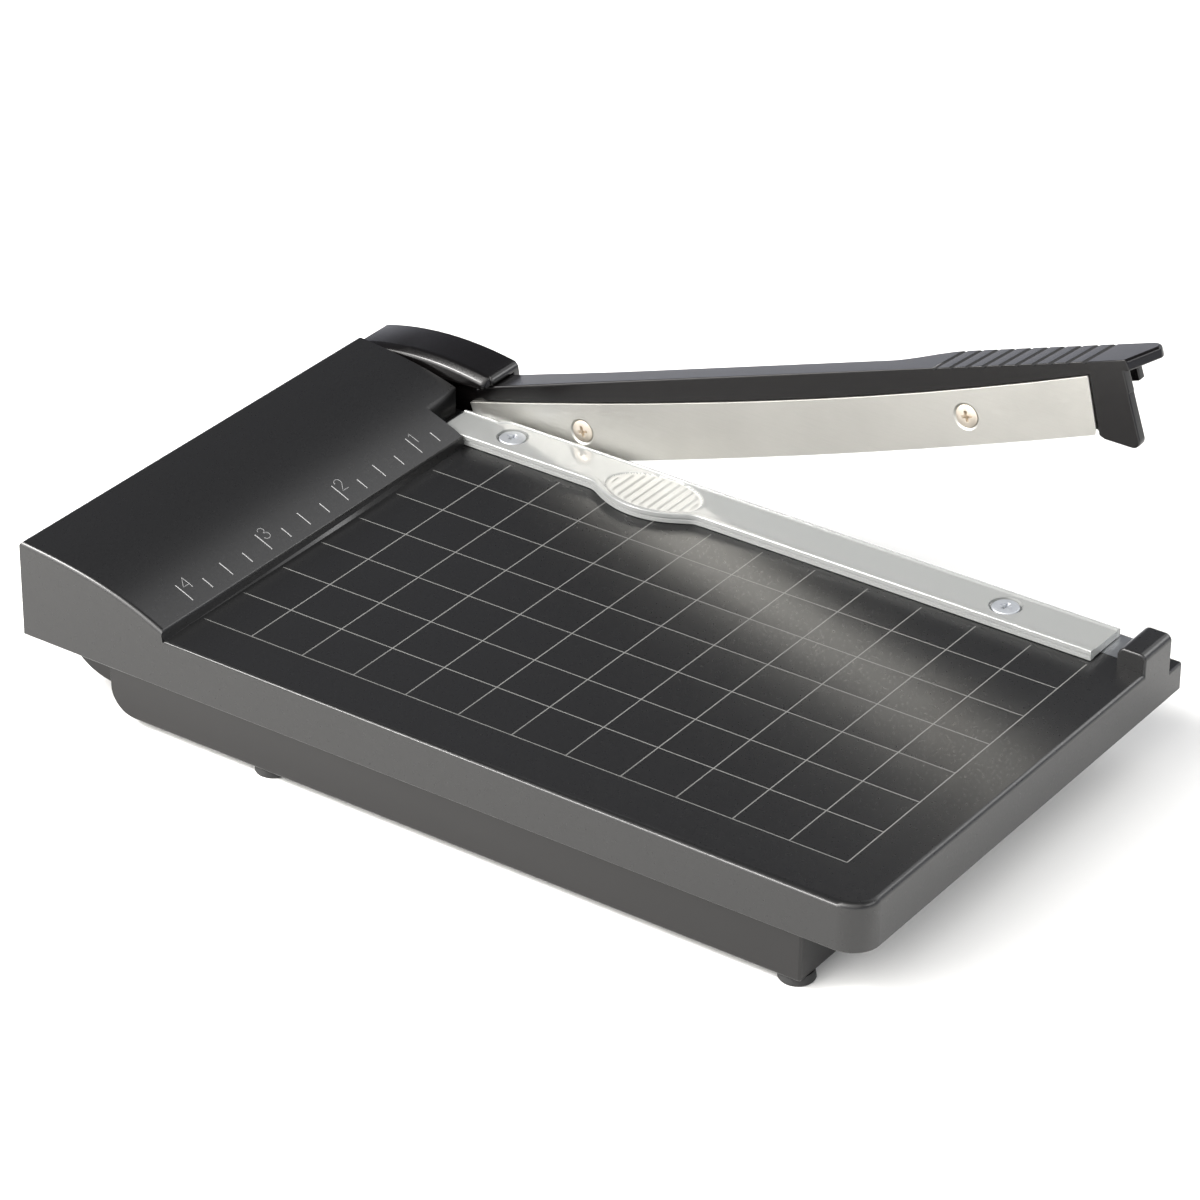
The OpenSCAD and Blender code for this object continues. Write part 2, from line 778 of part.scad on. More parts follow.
// The part that leans over the head, with a bevelled left edge and an open underside
module cover_left() {
    slice = 0.01;
    function back(p) = [p[0] + nose_in * (cover_rear - p[0]) / (cover_rear + cover_nose), p[1]];
    hull() {
        along_x(bevel_x - slice, bevel_x + slice) polygon(concat(cover_top(0),
            [[-cover_nose, cover_nose_h - lip_h], [cover_rear, cover_h - lip_h]]));
        along_x(cover_x0, cover_x0 + slice) polygon(concat(
            [for (p = cover_top(bevel_drop)) back(p)],
            [[-cover_nose + nose_in, cover_nose_h - lip_h], [cover_rear, cover_h - lip_h]]));
    }
}

module pivot_bolt() {
    tail = -spring_x0 + big_washer_t + big_nut_h + bolt_tail;
    color(zinc) on_pivot() {
        disc_x(bolt_head_x, bolt_head_x + bolt_head_h, bolt_head_r);
        disc_x(-tail, bolt_head_x, bolt_r);
    }
}

module pivot_bush() {
    color(brass) on_lever() {
        disc_x(flange_x0, blade_x1, flange_r, bolt_r + run_gap);
        disc_x(blade_x1, root_x1, bush_r, bolt_r + run_gap);
    }
}

module thrust_washer() {
    color(zinc) on_pivot() disc_x(washer_x0, flange_x0 - press_gap, washer_r, bolt_r + run_gap);
}

module pivot_plate() {
    color(steel) on_table() along_x(pivot_plate_x0, cheek_x0) difference() {
        union() {
            translate([pivot_y, bolt_z]) circle(pivot_plate_r);
            translate([pivot_plate_y0, -skirt_h + nest_gap])
                square([pivot_y - pivot_plate_y0, pivot_plate_top + skirt_h - nest_gap]);
        }
        translate([pivot_y, bolt_z]) circle(bolt_r + run_gap);
        for (y = plate_screw_y) translate([y, plate_screw_z])
            circle(d = plate_screw_d + 2 * hole_gap);
    }
}

module pivot_plate_screws() {
    color(zinc) on_table() for (y = plate_screw_y) translate([0, y, plate_screw_z]) {
        disc_x(pivot_plate_x0 - plate_screw_head_h, pivot_plate_x0, plate_screw_head_d / 2);
        disc_x(pivot_plate_x0, side_x - 2 * plate_screw_end, plate_screw_d / 2);
    }
}

// Points of the spring's wire: rings of sides points along a helix round the x axis
module pivot_spring() {
    sides = 6;
    per_turn = 16;
    rings = per_turn * spring_turns;
    rise = (spring_l - wire_d) / rings;
    r = wire_d / 2;
    points = [for (i = [0:rings], j = [0:sides - 1])
        let(a = 360 * i / per_turn, b = 360 * j / sides, d = spring_r + r * cos(b))
        [spring_x0 + r + i * rise + r * sin(b), d * cos(a), d * sin(a)]];
    walls = [for (i = [0:rings - 1], j = [0:sides - 1]) let(k = (j + 1) % sides)
        each [[i * sides + j, (i + 1) * sides + j, i * sides + k],
            [i * sides + k, (i + 1) * sides + j, (i + 1) * sides + k]]];
    ends = [[for (j = [0:sides - 1]) j], [for (j = [sides - 1:-1:0]) rings * sides + j]];
    echo(gap_between_turns = rise * per_turn - wire_d);
    color(steel) on_pivot() polyhedron(points, concat(walls, ends));
}

module spring_washer() {
    color(zinc) on_pivot()
        disc_x(spring_x0 - big_washer_t, spring_x0, big_washer_r, bolt_r + run_gap);
}

module lock_nut() {
    color(zinc) on_pivot() translate([spring_x0 - big_washer_t - big_nut_h, 0, 0])
        rotate([0, 90, 0]) rotate([0, 0, 30]) hex_nut(big_nut_af, big_nut_h, bolt_r + run_gap);
}

table_base();
lower_housing();
housing_screws();
foot_front_left();
foot_front_right();
foot_rear_left();
foot_rear_right();
bed_strip();
clear_guard();
guard_screws();
guard_nuts();
arm_lever();
pivot_cover();
blade();
blade_screws();
blade_nuts();
pivot_bolt();
pivot_bush();
thrust_washer();
pivot_plate();
pivot_plate_screws();
pivot_spring();
spring_washer();
lock_nut();
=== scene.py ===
"""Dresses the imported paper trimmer: mouldings, engraved grid, clear guard, steel and screws.

Sizes are in millimetres unless a comment says otherwise. Places are in table millimetres: x from
the cutting edge, y from the head's front face, z from the table top. Places on the lever are in
lever millimetres: the pivot is the origin, -y runs to the grip, z is square to the lever's top.
"""
import json
import math

import bmesh
import bpy
from bpy.props import FloatProperty, FloatVectorProperty, IntProperty, PointerProperty
from mathutils import Matrix, Vector


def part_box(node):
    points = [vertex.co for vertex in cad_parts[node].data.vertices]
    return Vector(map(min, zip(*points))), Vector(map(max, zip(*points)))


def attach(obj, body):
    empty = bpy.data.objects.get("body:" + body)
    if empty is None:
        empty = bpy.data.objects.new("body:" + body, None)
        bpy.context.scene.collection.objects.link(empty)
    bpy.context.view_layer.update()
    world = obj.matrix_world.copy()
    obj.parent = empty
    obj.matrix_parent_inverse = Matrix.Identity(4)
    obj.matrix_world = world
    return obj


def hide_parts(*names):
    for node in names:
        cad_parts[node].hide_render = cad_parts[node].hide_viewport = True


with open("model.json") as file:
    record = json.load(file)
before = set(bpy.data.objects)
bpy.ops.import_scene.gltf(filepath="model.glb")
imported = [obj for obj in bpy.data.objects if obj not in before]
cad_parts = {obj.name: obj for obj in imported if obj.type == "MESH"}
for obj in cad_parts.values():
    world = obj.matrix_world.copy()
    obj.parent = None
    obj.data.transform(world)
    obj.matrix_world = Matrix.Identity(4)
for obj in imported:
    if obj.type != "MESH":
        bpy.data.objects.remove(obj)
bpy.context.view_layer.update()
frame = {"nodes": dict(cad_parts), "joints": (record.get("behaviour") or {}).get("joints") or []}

bl_info = {
    "name": "Paper trimmer dressing",
    "version": (1, 0, 0),
    "blender": (4, 5, 0),
    "location": "View3D > Sidebar > Trimmer",
    "description": "Builds the visible pieces, materials, light and camera of a paper trimmer",
    "category": "Object",
}

MM = 0.001
INCH = 25.4
# A place this close to a plane counts as on it.
NEAR = 0.1

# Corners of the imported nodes, in metres.
STRIP_LOW, STRIP_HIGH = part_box("bed_strip")
BASE_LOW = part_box("table_base")[0]
GUARD_LOW, GUARD_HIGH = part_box("clear_guard")

# Sizes of the table moulding, as the part's source has them.
STRIP_PROUD = 0.2
BED_L = 163.8
TABLE_W = 113.8
HEAD_L = 36.5
HEAD_FRONT_H = 2.4
HEAD_H = 10.9
SKIRT_H = 10.7
# The crown curve's two inner points: height over its front end, and depth below its rear end.
CROWN_RISE = 6.0
CROWN_FALL = 1.0

ORIGIN = Vector((STRIP_HIGH.x, BASE_LOW.y + BED_L * MM, STRIP_HIGH.z - STRIP_PROUD * MM))
LIFT = math.radians(19.05)
PIVOT = Vector((STRIP_HIGH.x, *frame["joints"][0]["pos_m"][1:]))
LEVER = Matrix.Translation(PIVOT) @ Matrix.Rotation(-LIFT, 4, "X")


def table_point(x, y, z):
    """A place given in table millimetres, in metres in the frame."""
    return ORIGIN + Vector((x, y, z)) * MM


def table_mm(point):
    """A place in the frame, in table millimetres."""
    return (point - ORIGIN) / MM


def lever_mm(point):
    """A place in the frame, in lever millimetres."""
    return LEVER.inverted() @ point / MM


def linear(hex_colour):
    """Turns an sRGB hex colour to the linear RGBA that a shader takes."""
    channels = [int(hex_colour[i:i + 2], 16) / 255 for i in (1, 3, 5)]
    return [c / 12.92 if c <= 0.04045 else ((c + 0.055) / 1.055) ** 2.4 for c in channels] + [1.0]


def smooth_step(t):
    """Rises smoothly from 0 to 1 as t does."""
    t = max(0.0, min(1.0, t))
    return t * t * (3 - 2 * t)


def colour_property(name, description, hex_colour):
    """A colour that the user may change, given as sRGB hex."""
    return FloatVectorProperty(name=name, description=description, subtype="COLOR", size=4,
                               min=0, max=1, default=linear(hex_colour))


def length_property(name, description, millimetres):
    """A length that the user may change, given in millimetres."""
    return FloatProperty(name=name, description=description, unit="LENGTH", min=0,
                         precision=5, default=millimetres * MM)


class TrimmerSizes(bpy.types.PropertyGroup):
    """Sizes of the details that the mouldings and the sheet metal carry."""
    table_round: length_property("Table edge", "Rounding of the table's top edge", 1.3)
    crown_round: length_property("Crown edge", "Rounding of the head's outer edges", 1.0)
    small_round: length_property("Small edge", "Rounding of the mouldings' other edges", 0.5)
    lever_round: length_property("Lever edge", "Rounding of the lever's long edges", 0.7)
    cover_round: length_property("Cover edge", "Rounding of the pivot cover's edges", 0.5)
    line_width: length_property("Line width", "Width of an engraved grid line", 0.27)
    line_depth: length_property("Line depth", "Depth of an engraved grid line", 0.14)
    grid_pitch: length_property("Grid pitch", "Distance between two grid lines", INCH / 2)
    tick_width: length_property("Tick width", "Width of a ruler mark", 0.36)
    digit_height: length_property("Digit height", "Height of a ruler number", 2.9)
    rib_pitch: length_property("Rib pitch", "Distance between two ribs of the thumb rest", 2.05)
    rib_count: IntProperty(name="Ribs", description="Number of ribs on the thumb rest",
                           min=3, max=14, default=11)


class TrimmerColours(bpy.types.PropertyGroup):
    """Colours of the trimmer's materials and of the stage."""
    moulding: colour_property("Moulding", "ABS of the table and the head", "#111111")
    housing: colour_property("Housing", "ABS of the lower housing", "#0f0e0e")
    lever: colour_property("Lever", "ABS of the lever and the pivot cover", "#060505")
    # The grid lines' grey is painted reflection: it stands for the light that the glossy flanks of
    # the unpainted grooves catch.
    marks: colour_property("Marks", "Painted reflection in the grid grooves", "#757573")
    ruler: colour_property("Ruler", "Paint on the ruler marks", "#909090")
    clear: colour_property("Guard", "Tint of the clear guard", "#b1b3b1")
    frosted: colour_property("Thumb rest", "Frosted face of the thumb rest", "#a8a8a4")
    steel: colour_property("Steel", "Ground steel of the strip and the plate", "#a4a6a8")
    blade: colour_property("Blade", "Satin steel of the blade", "#abaaa5")
    plating: colour_property("Plating", "Nickel plating of the blade's screws", "#d2c9bc")
    zinc: colour_property("Zinc", "Zinc plating of bolt, nuts, washers and guard screws", "#b9bcc0")
    spring: colour_property("Spring", "Oiled spring wire", "#8a8a8c")
    brass: colour_property("Brass", "Turned brass of the bush", "#b8965a")
    rubber: colour_property("Rubber", "Rubber of the feet", "#161616")
    floor: colour_property("Floor", "Matt floor under the trimmer", "#f4f4f2")


# Materials

# The colour sockets of a Mix node, whose names stand for its other sockets too.
MIX_A, MIX_B, MIX_RESULT = 6, 7, 2


def feed(tree, node, inputs):
    """Gives each named input of a node its value, or links it to the socket that feeds it."""
    for name, value in inputs.items():
        socket = node.inputs[name]
        if isinstance(value, bpy.types.NodeSocket):
            tree.links.new(value, socket)
        else:
            socket.default_value = value


def add_node(tree, kind, inputs=None, **settings):
    """Adds a node with its inputs and its settings."""
    node = tree.nodes.new(kind)
    for name, value in settings.items():
        setattr(node, name, value)
    feed(tree, node, inputs or {})
    return node


def new_material(name):
    """An empty node material: its tree, its shader and its surface coordinates in metres."""
    material = bpy.data.materials.new(name)
    material.use_nodes = True
    tree = material.node_tree
    shader = tree.nodes["Principled BSDF"]
    place = add_node(tree, "ShaderNodeTexCoord").outputs["Object"]
    return material, tree, shader, place


def set_shader(tree, shader, **inputs):
    """Feeds the shader's sockets; an underscore in a name stands for a space."""
    feed(tree, shader, {name.replace("_", " "): value for name, value in inputs.items()})


def tones(colour, spread):
    """The colour and a slightly lighter one."""
    return colour[:], [min(1, c * (1 + spread)) for c in colour[:3]] + [1]


def moulded_abs(name, colour, grain_mm, depth_mm, rough, ior=1.53):
    """Injection-moulded ABS: spark-eroded texture gives soft, broken highlights on near black.

    The real texture is about 0.1 mm fine. It is drawn coarser so that it shows.
    """
    material, tree, shader, place = new_material(name)
    cloud = add_node(tree, "ShaderNodeTexNoise", {
        "Vector": place, "Scale": 1 / (14 * MM), "Detail": 3.0, "Roughness": 0.55})
    low, high = tones(colour, 0.16)
    tint = add_node(tree, "ShaderNodeMix", data_type="RGBA", inputs={
        "Factor": cloud.outputs["Fac"], MIX_A: low, MIX_B: high})
    grain = add_node(tree, "ShaderNodeTexNoise", {
        "Vector": place, "Scale": 1 / (grain_mm * MM), "Roughness": 0.6})
    bump = add_node(tree, "ShaderNodeBump", {
        "Height": grain.outputs["Fac"], "Distance": depth_mm * MM})
    roughness = add_node(tree, "ShaderNodeMapRange", {
        "Value": grain.outputs["Fac"], "From Min": 0.3, "From Max": 0.7,
        "To Min": rough, "To Max": rough + 0.06})
    set_shader(tree, shader, Base_Color=tint.outputs[MIX_RESULT], IOR=ior,
               Roughness=roughness.outputs["Result"], Normal=bump.outputs["Normal"])
    return material


def line_paint_and_sheen(name, colour):
    """Patchy line colour: paint on the ruler; painted reflection in the glossy grid grooves."""
    material, tree, shader, place = new_material(name)
    tone_patches = add_node(tree, "ShaderNodeTexNoise", {
        "Vector": place, "Scale": 1 / (1.6 * MM), "Detail": 4.0, "Roughness": 0.6})
    patch_colour = [c * 0.72 for c in colour[:3]] + [1]
    tint = add_node(tree, "ShaderNodeMix", data_type="RGBA", inputs={
        "Factor": tone_patches.outputs["Fac"], MIX_A: patch_colour, MIX_B: colour[:]})
    set_shader(tree, shader, Base_Color=tint.outputs[MIX_RESULT], Roughness=0.4, IOR=1.48)
    return material


def worked_steel(name, colour, grain_mm, depth_mm, rough, along=(1, 1, 1), cloudy=0.1,
                 cloud_mm=9):
    """Metal ground, rolled, turned or plated: fine lines or grain that stretch its highlights.

    Real grinding lines are under 0.1 mm wide. They are drawn coarser so that they show.
    """
    material, tree, shader, place = new_material(name)
    stretch = add_node(tree, "ShaderNodeMapping", {"Vector": place, "Scale": along})
    lines = add_node(tree, "ShaderNodeTexNoise", {
        "Vector": stretch.outputs["Vector"], "Scale": 1 / (grain_mm * MM), "Detail": 3.0})
    cloud = add_node(tree, "ShaderNodeTexNoise", {
        "Vector": place, "Scale": 1 / (cloud_mm * MM), "Detail": 3.0})
    low, high = tones(colour, cloudy)
    tint = add_node(tree, "ShaderNodeMix", data_type="RGBA", inputs={
        "Factor": cloud.outputs["Fac"], MIX_A: low, MIX_B: high})
    bump = add_node(tree, "ShaderNodeBump", {
        "Height": lines.outputs["Fac"], "Distance": depth_mm * MM})
    roughness = add_node(tree, "ShaderNodeMapRange", {
        "Value": lines.outputs["Fac"], "From Min": 0.3, "From Max": 0.7,
        "To Min": rough - 0.05, "To Max": rough + 0.06})
    set_shader(tree, shader, Base_Color=tint.outputs[MIX_RESULT], Metallic=1.0,
               Roughness=roughness.outputs["Result"], Normal=bump.outputs["Normal"])
    return material


def milky_acrylic(name, colour, grain_mm, rough, clearness):
    """Moulded translucent acrylic: a white haze under a smooth, faintly flowing skin."""
    material, tree, shader, place = new_material(name)
    flow = add_node(tree, "ShaderNodeTexNoise", {
        "Vector": place, "Scale": 1 / (grain_mm * MM)})
    bump = add_node(tree, "ShaderNodeBump", {
        "Height": flow.outputs["Fac"], "Distance": 0.004 * MM})
    roughness = add_node(tree, "ShaderNodeMapRange", {
        "Value": flow.outputs["Fac"], "From Min": 0.35, "From Max": 0.65,
        "To Min": rough, "To Max": rough + 0.06})
    set_shader(tree, shader, Base_Color=colour[:], Transmission_Weight=clearness, IOR=1.49,
               Roughness=roughness.outputs["Result"], Normal=bump.outputs["Normal"])
    return material


def moulded_rubber(name, colour):
    """Moulded rubber: dull, with a powdery bloom that lightens it in patches."""
    material, tree, shader, place = new_material(name)
    bloom = add_node(tree, "ShaderNodeTexNoise", {
        "Vector": place, "Scale": 1 / (0.8 * MM), "Detail": 4.0})
    low, high = tones(colour, 0.5)
    tint = add_node(tree, "ShaderNodeMix", data_type="RGBA", inputs={
        "Factor": bloom.outputs["Fac"], MIX_A: low, MIX_B: high})
    bump = add_node(tree, "ShaderNodeBump", {
        "Height": bloom.outputs["Fac"], "Distance": 0.03 * MM})
    set_shader(tree, shader, Base_Color=tint.outputs[MIX_RESULT], Roughness=0.72, IOR=1.52,
               Normal=bump.outputs["Normal"])
    return material


def studio_paper(name, colour):
    """Matt background paper: a faint tooth keeps the floor from looking like glass."""
    material, tree, shader, place = new_material(name)
    tooth = add_node(tree, "ShaderNodeTexNoise", {
        "Vector": place, "Scale": 1 / (2 * MM), "Detail": 3.0})
    bump = add_node(tree, "ShaderNodeBump", {
        "Height": tooth.outputs["Fac"], "Distance": 0.02 * MM, "Strength": 0.5})
    set_shader(tree, shader, Base_Color=colour[:], Roughness=0.9, Normal=bump.outputs["Normal"])
    return material


# Meshes

# Every bevel weight is a share of this width, in metres.
WIDEST_ROUND = 4 * MM
# An edge that turns by less than this many degrees is part of a curve and stays as it is.
LEAST_TURN = 35.0


def mesh_object(name, build, materials):
    """A new object from a bmesh."""
    mesh = bpy.data.meshes.new(name)
    build.to_mesh(mesh)
    build.free()
    for material in materials:
        mesh.materials.append(material)
    made = bpy.data.objects.new(name, mesh)
    bpy.context.scene.collection.objects.link(made)
    return made


def drop(piece):
    """Removes a helper object with its mesh."""
    mesh = piece.data
    bpy.data.objects.remove(piece)
    bpy.data.meshes.remove(mesh)


def put(piece, body, slot, *nodes):
    """Lets a piece ride on its body and stand for its CAD nodes."""
    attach(piece, body)
    if nodes:
        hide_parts(*nodes)


def shade(piece, degrees=32.0):
    """Smooth faces that break only at real edges, with flat faces kept flat."""
    mesh = piece.data
    mesh.polygons.foreach_set("use_smooth", [True] * len(mesh.polygons))
    mesh.set_sharp_from_angle(angle=math.radians(degrees))
    weights = piece.modifiers.new("Flat faces stay flat", "WEIGHTED_NORMAL")
    weights.keep_sharp = True


def apply_modifiers(piece):
    """Keeps the shape that the piece's modifiers give, and drops them."""
    bpy.context.view_layer.update()
    graph = bpy.context.evaluated_depsgraph_get()
    mesh = bpy.data.meshes.new_from_object(piece.evaluated_get(graph))
    old = piece.data
    piece.modifiers.clear()
    piece.data = mesh
    bpy.data.meshes.remove(old)


def cut(piece, cutter, crossed=False):
    """Takes the cutter's solid out of the piece; crossed says that the solid cuts itself."""
    knife = piece.modifiers.new("Cut", "BOOLEAN")
    knife.operation = "DIFFERENCE"
    knife.solver = "EXACT"
    knife.material_mode = "TRANSFER"
    knife.use_self = crossed
    knife.object = cutter
    apply_modifiers(piece)
    drop(cutter)


def join(name, parts):
    """One object from several that share one material."""
    build = bmesh.new()
    for part in parts:
        build.from_mesh(part.data)
    made = mesh_object(name, build, [parts[0].data.materials[0]])
    for part in parts:
        drop(part)
    return made


def weld(build):
    """Joins points that lie together, and makes each flat face whole again."""
    bmesh.ops.remove_doubles(build, verts=build.verts, dist=0.002 * MM)
    bmesh.ops.dissolve_limit(build, angle_limit=math.radians(0.4), verts=build.verts,
                             edges=build.edges)
    build.normal_update()


def round_edges(build, rounding, to_mm):
    """Weighs each convex edge by what rounding(low, high) says of the corners of its box."""
    layer = build.edges.layers.float.new("bevel_weight_edge")
    for edge in build.edges:
        if len(edge.link_faces) != 2 or not edge.is_convex:
            continue
        if edge.calc_face_angle(0.0) < math.radians(LEAST_TURN):
            continue
        ends = [to_mm(v.co) for v in edge.verts]
        low = Vector([min(ends[0][i], ends[1][i]) for i in range(3)])
        high = Vector([max(ends[0][i], ends[1][i]) for i in range(3)])
        edge[layer] = rounding(low, high) * MM / WIDEST_ROUND


def rounded_copy(node, name, material, rounding, to_mm=table_mm, prepare=None):
    """A copy of a CAD node's mesh with rounded edges, which stands for the node."""
    build = bmesh.new()
    build.from_mesh(frame["nodes"][node].data)
    weld(build)
    if prepare:
        prepare(build)
    round_edges(build, rounding, to_mm)
    piece = mesh_object(name, build, [material])
    bevel = piece.modifiers.new("Moulded edges", "BEVEL")
    bevel.limit_method = "WEIGHT"
    bevel.width = WIDEST_ROUND
    bevel.segments = 3
    bevel.use_clamp_overlap = False
    bevel.loop_slide = False
    apply_modifiers(piece)
    return piece


def close_normals(build):
    """Turns all faces outwards."""
    bmesh.ops.recalc_face_normals(build, faces=build.faces)


def skin(build, rings):
    """Walls between neighbouring rings of points; a ring of one point makes a closed end."""
    faces = []
    for near, far in zip(rings, rings[1:]):
        count = max(len(near), len(far))
        for i in range(count):
            k = (i + 1) % count
            corners = [near[i % len(near)], near[k % len(near)], far[k % len(far)],
                       far[i % len(far)]]
            faces.append(build.faces.new(list(dict.fromkeys(corners))))
    return faces


def prism(build, ring, shift):
    """A straight solid from a ring of points, drawn out by shift."""
    near = [build.verts.new(p) for p in ring]
    far = [build.verts.new(p + shift) for p in ring]
    build.faces.new(near[::-1])
    build.faces.new(far)
    skin(build, [near, far])


def turned(build, place, profile, segments=40):
    """A solid turned round the z axis of place, from points (radius, height) in millimetres."""
    rings = []
    for radius, height in profile:
        turns = [2 * math.pi * i / segments for i in range(segments if radius else 1)]
        rings.append([build.verts.new(place @ (Vector((
            radius * math.cos(a), radius * math.sin(a), height)) * MM)) for a in turns])
    skin(build, rings)
    close_normals(build)


# Table, head and ruler

# Ends of the grid lines; the lengthwise line nearest the cutting edge is an inch away from it.
GRID_X0, GRID_X1 = -101.6, -14.0
GRID_Y0, GRID_Y1 = -0.7, -152.4
# The lines' knives stand this far out of the table.
KNIFE_OVER = 0.3
# The front corners' arcs end this far behind the front edge.
FRONT_BAND = 6.3
# The post and the stop lug stand to the right of this.
POST_X = -11.2
# A point this near the crown's curve is shaded by it, where its face looks the same way.
CROWN_NEAR = 0.06
CROWN_FACING = 0.93
SLOPE_STEP = 0.2

# The ruler: feet and ends of its marks behind the head's front face, and its last mark.
TICK_FOOT = 1.95
LONG_TOP, MEDIUM_TOP, SHORT_TOP = 6.4, 5.45, 4.6
LAST_TICK = -19.05
# The marks' height over the crown, and how deep their flanks reach into it.
MARK_RISE = 0.07
MARK_SINK = 0.12
# A mark is bent to the crown in steps of this length.
MARK_STEP = 0.6
# The numbers stand this far right of their mark and below its end.
DIGIT_GAP, DIGIT_DROP = 1.0, 2.2

# Strokes of the ruler numbers: x and y as shares of a number's height.
STROKES = {
    "1": [[(0.04, 0.76), (0.28, 0.96), (0.28, 0.0)]],
    "2": [[(0.02, 0.72), (0.08, 0.88), (0.22, 0.98), (0.42, 0.99), (0.58, 0.9), (0.64, 0.74),
           (0.58, 0.55), (0.02, 0.0), (0.68, 0.0)]],
    "3": [[(0.04, 0.8), (0.14, 0.94), (0.32, 1.0), (0.52, 0.94), (0.6, 0.78), (0.52, 0.61),
           (0.3, 0.54)],
          [(0.3, 0.54), (0.56, 0.47), (0.66, 0.28), (0.56, 0.08), (0.34, 0.0), (0.12, 0.06),
           (0.01, 0.22)]],
    "4": [[(0.66, 0.34), (0.0, 0.34), (0.62, 1.0), (0.62, 0.0)]],
}


def crown_height(y):
    """Height of the head's crown at a distance behind its front face."""
    t = max(0.0, min(1.0, y / HEAD_L))
    points = (HEAD_FRONT_H, HEAD_FRONT_H + CROWN_RISE, HEAD_H - CROWN_FALL, HEAD_H)
    weights = ((1 - t) ** 3, 3 * (1 - t) ** 2 * t, 3 * (1 - t) * t * t, t ** 3)
    return sum(p * w for p, w in zip(points, weights))


def crown_normal(y):
    """The crown's true normal at a distance behind its front face."""
    rise = crown_height(y + SLOPE_STEP) - crown_height(y - SLOPE_STEP)
    run = min(HEAD_L, y + SLOPE_STEP) - max(0.0, y - SLOPE_STEP)
    return Vector((0, -rise / run, 1)).normalized()


def smooth_crown(piece):
    """Shades the head's crown by its true curve, so that its flats don't show."""
    apply_modifiers(piece)
    mesh = piece.data
    normals = [corner.vector.copy() for corner in mesh.corner_normals]
    for face in mesh.polygons:
        for corner in face.loop_indices:
            place = table_mm(mesh.vertices[mesh.loops[corner].vertex_index].co)
            if not -0.01 < place.y < HEAD_L + 0.01:
                continue
            if abs(place.z - crown_height(place.y)) > CROWN_NEAR:
                continue
            true = crown_normal(place.y)
            if face.normal.dot(true) > CROWN_FACING:
                normals[corner] = true
    mesh.normals_split_custom_set(normals)


def line_cutters(width, depth, pitch, lengthwise):
    """V-shaped knives for the grid lines of one direction."""
    build = bmesh.new()
    half = width / 2 * (depth + KNIFE_OVER) / depth
    section = ((-half, KNIFE_OVER), (0, -depth), (half, KNIFE_OVER))
    if lengthwise:
        x = GRID_X0
        while x < -INCH + NEAR:
            prism(build, [table_point(x + aside, GRID_Y1, z) for aside, z in section],
                  Vector((0, (GRID_Y0 - GRID_Y1) * MM, 0)))
            x += pitch
    else:
        y = -pitch
        while y > GRID_Y1 - NEAR:
            prism(build, [table_point(GRID_X0, y + aside, z) for aside, z in section],
                  Vector(((GRID_X1 - GRID_X0) * MM, 0, 0)))
            y -= pitch
    close_normals(build)
    return build


def table_rounding(sizes):
    """How much each edge of the table moulding is rounded, from where it lies."""
    top, crown, small = (v / MM for v in (sizes.table_round, sizes.crown_round,
                                          sizes.small_round))

    def rounding(low, high):
        outer_left = high.x < -TABLE_W + NEAR
        front = high.y < -BED_L + FRONT_BAND
        rear = low.y > HEAD_L - NEAR
        if low.z > -NEAR and high.z < NEAR:
            return top if outer_left or front and low.x < POST_X else 0.0
        if low.z > NEAR and (outer_left or rear) and high.z > HEAD_FRONT_H - NEAR:
            return crown
        if low.z > HEAD_FRONT_H - 2 * NEAR and high.y < NEAR and low.y > -NEAR:
            return small
        if high.z < -SKIRT_H + NEAR:
            return small * 0.6 if outer_left or front or rear else 0.0
        return small if front and low.x > POST_X else 0.0
    return rounding


def crown_mark(build, points, width):
    """A raised line on the head's crown through the points, with sloping flanks."""
    path = []
    for (x0, y0), (x1, y1) in zip(points, points[1:]):
        steps = max(1, round(math.hypot(x1 - x0, y1 - y0) / MARK_STEP))
        path += [(x0 + (x1 - x0) * i / steps, y0 + (y1 - y0) * i / steps)
                 for i in range(steps)]
    path.append(points[-1])
    rings = []
    for i, (x, y) in enumerate(path):
        before, after = path[max(0, i - 1)], path[min(len(path) - 1, i + 1)]
        along = Vector((after[0] - before[0], after[1] - before[1])).normalized()
        side = Vector((-along.y, along.x))
        ring = []
        for share, lift in ((1.0, -MARK_SINK), (0.35, MARK_RISE), (-0.35, MARK_RISE),
                            (-1.0, -MARK_SINK)):
            px, py = x + side.x * share * width / 2, y + side.y * share * width / 2
            ring.append(build.verts.new(table_point(px, py, crown_height(py) + lift)))
        rings.append(ring)
    skin(build, rings)
    build.faces.new(rings[0][::-1])
    build.faces.new(rings[-1])


def ruler_marks(width, digit_height):
    """The quarter-inch marks on the crown, with a number beside each inch."""
    build = bmesh.new()
    count = round((LAST_TICK - GRID_X0) / (INCH / 4)) + 1
    for i in range(count):
        x = GRID_X0 + i * INCH / 4
        top = (LONG_TOP, SHORT_TOP, MEDIUM_TOP, SHORT_TOP)[i % 4]
        crown_mark(build, [(x, TICK_FOOT), (x, top)], width)
        if i % 4 == 0:
            left, foot = x + DIGIT_GAP, LONG_TOP - DIGIT_DROP
            for stroke in STROKES[str(4 - i // 4)]:
                crown_mark(build, [(left + u * digit_height, foot + v * digit_height)
                                   for u, v in stroke], width / 2)
    close_normals(build)
    return build


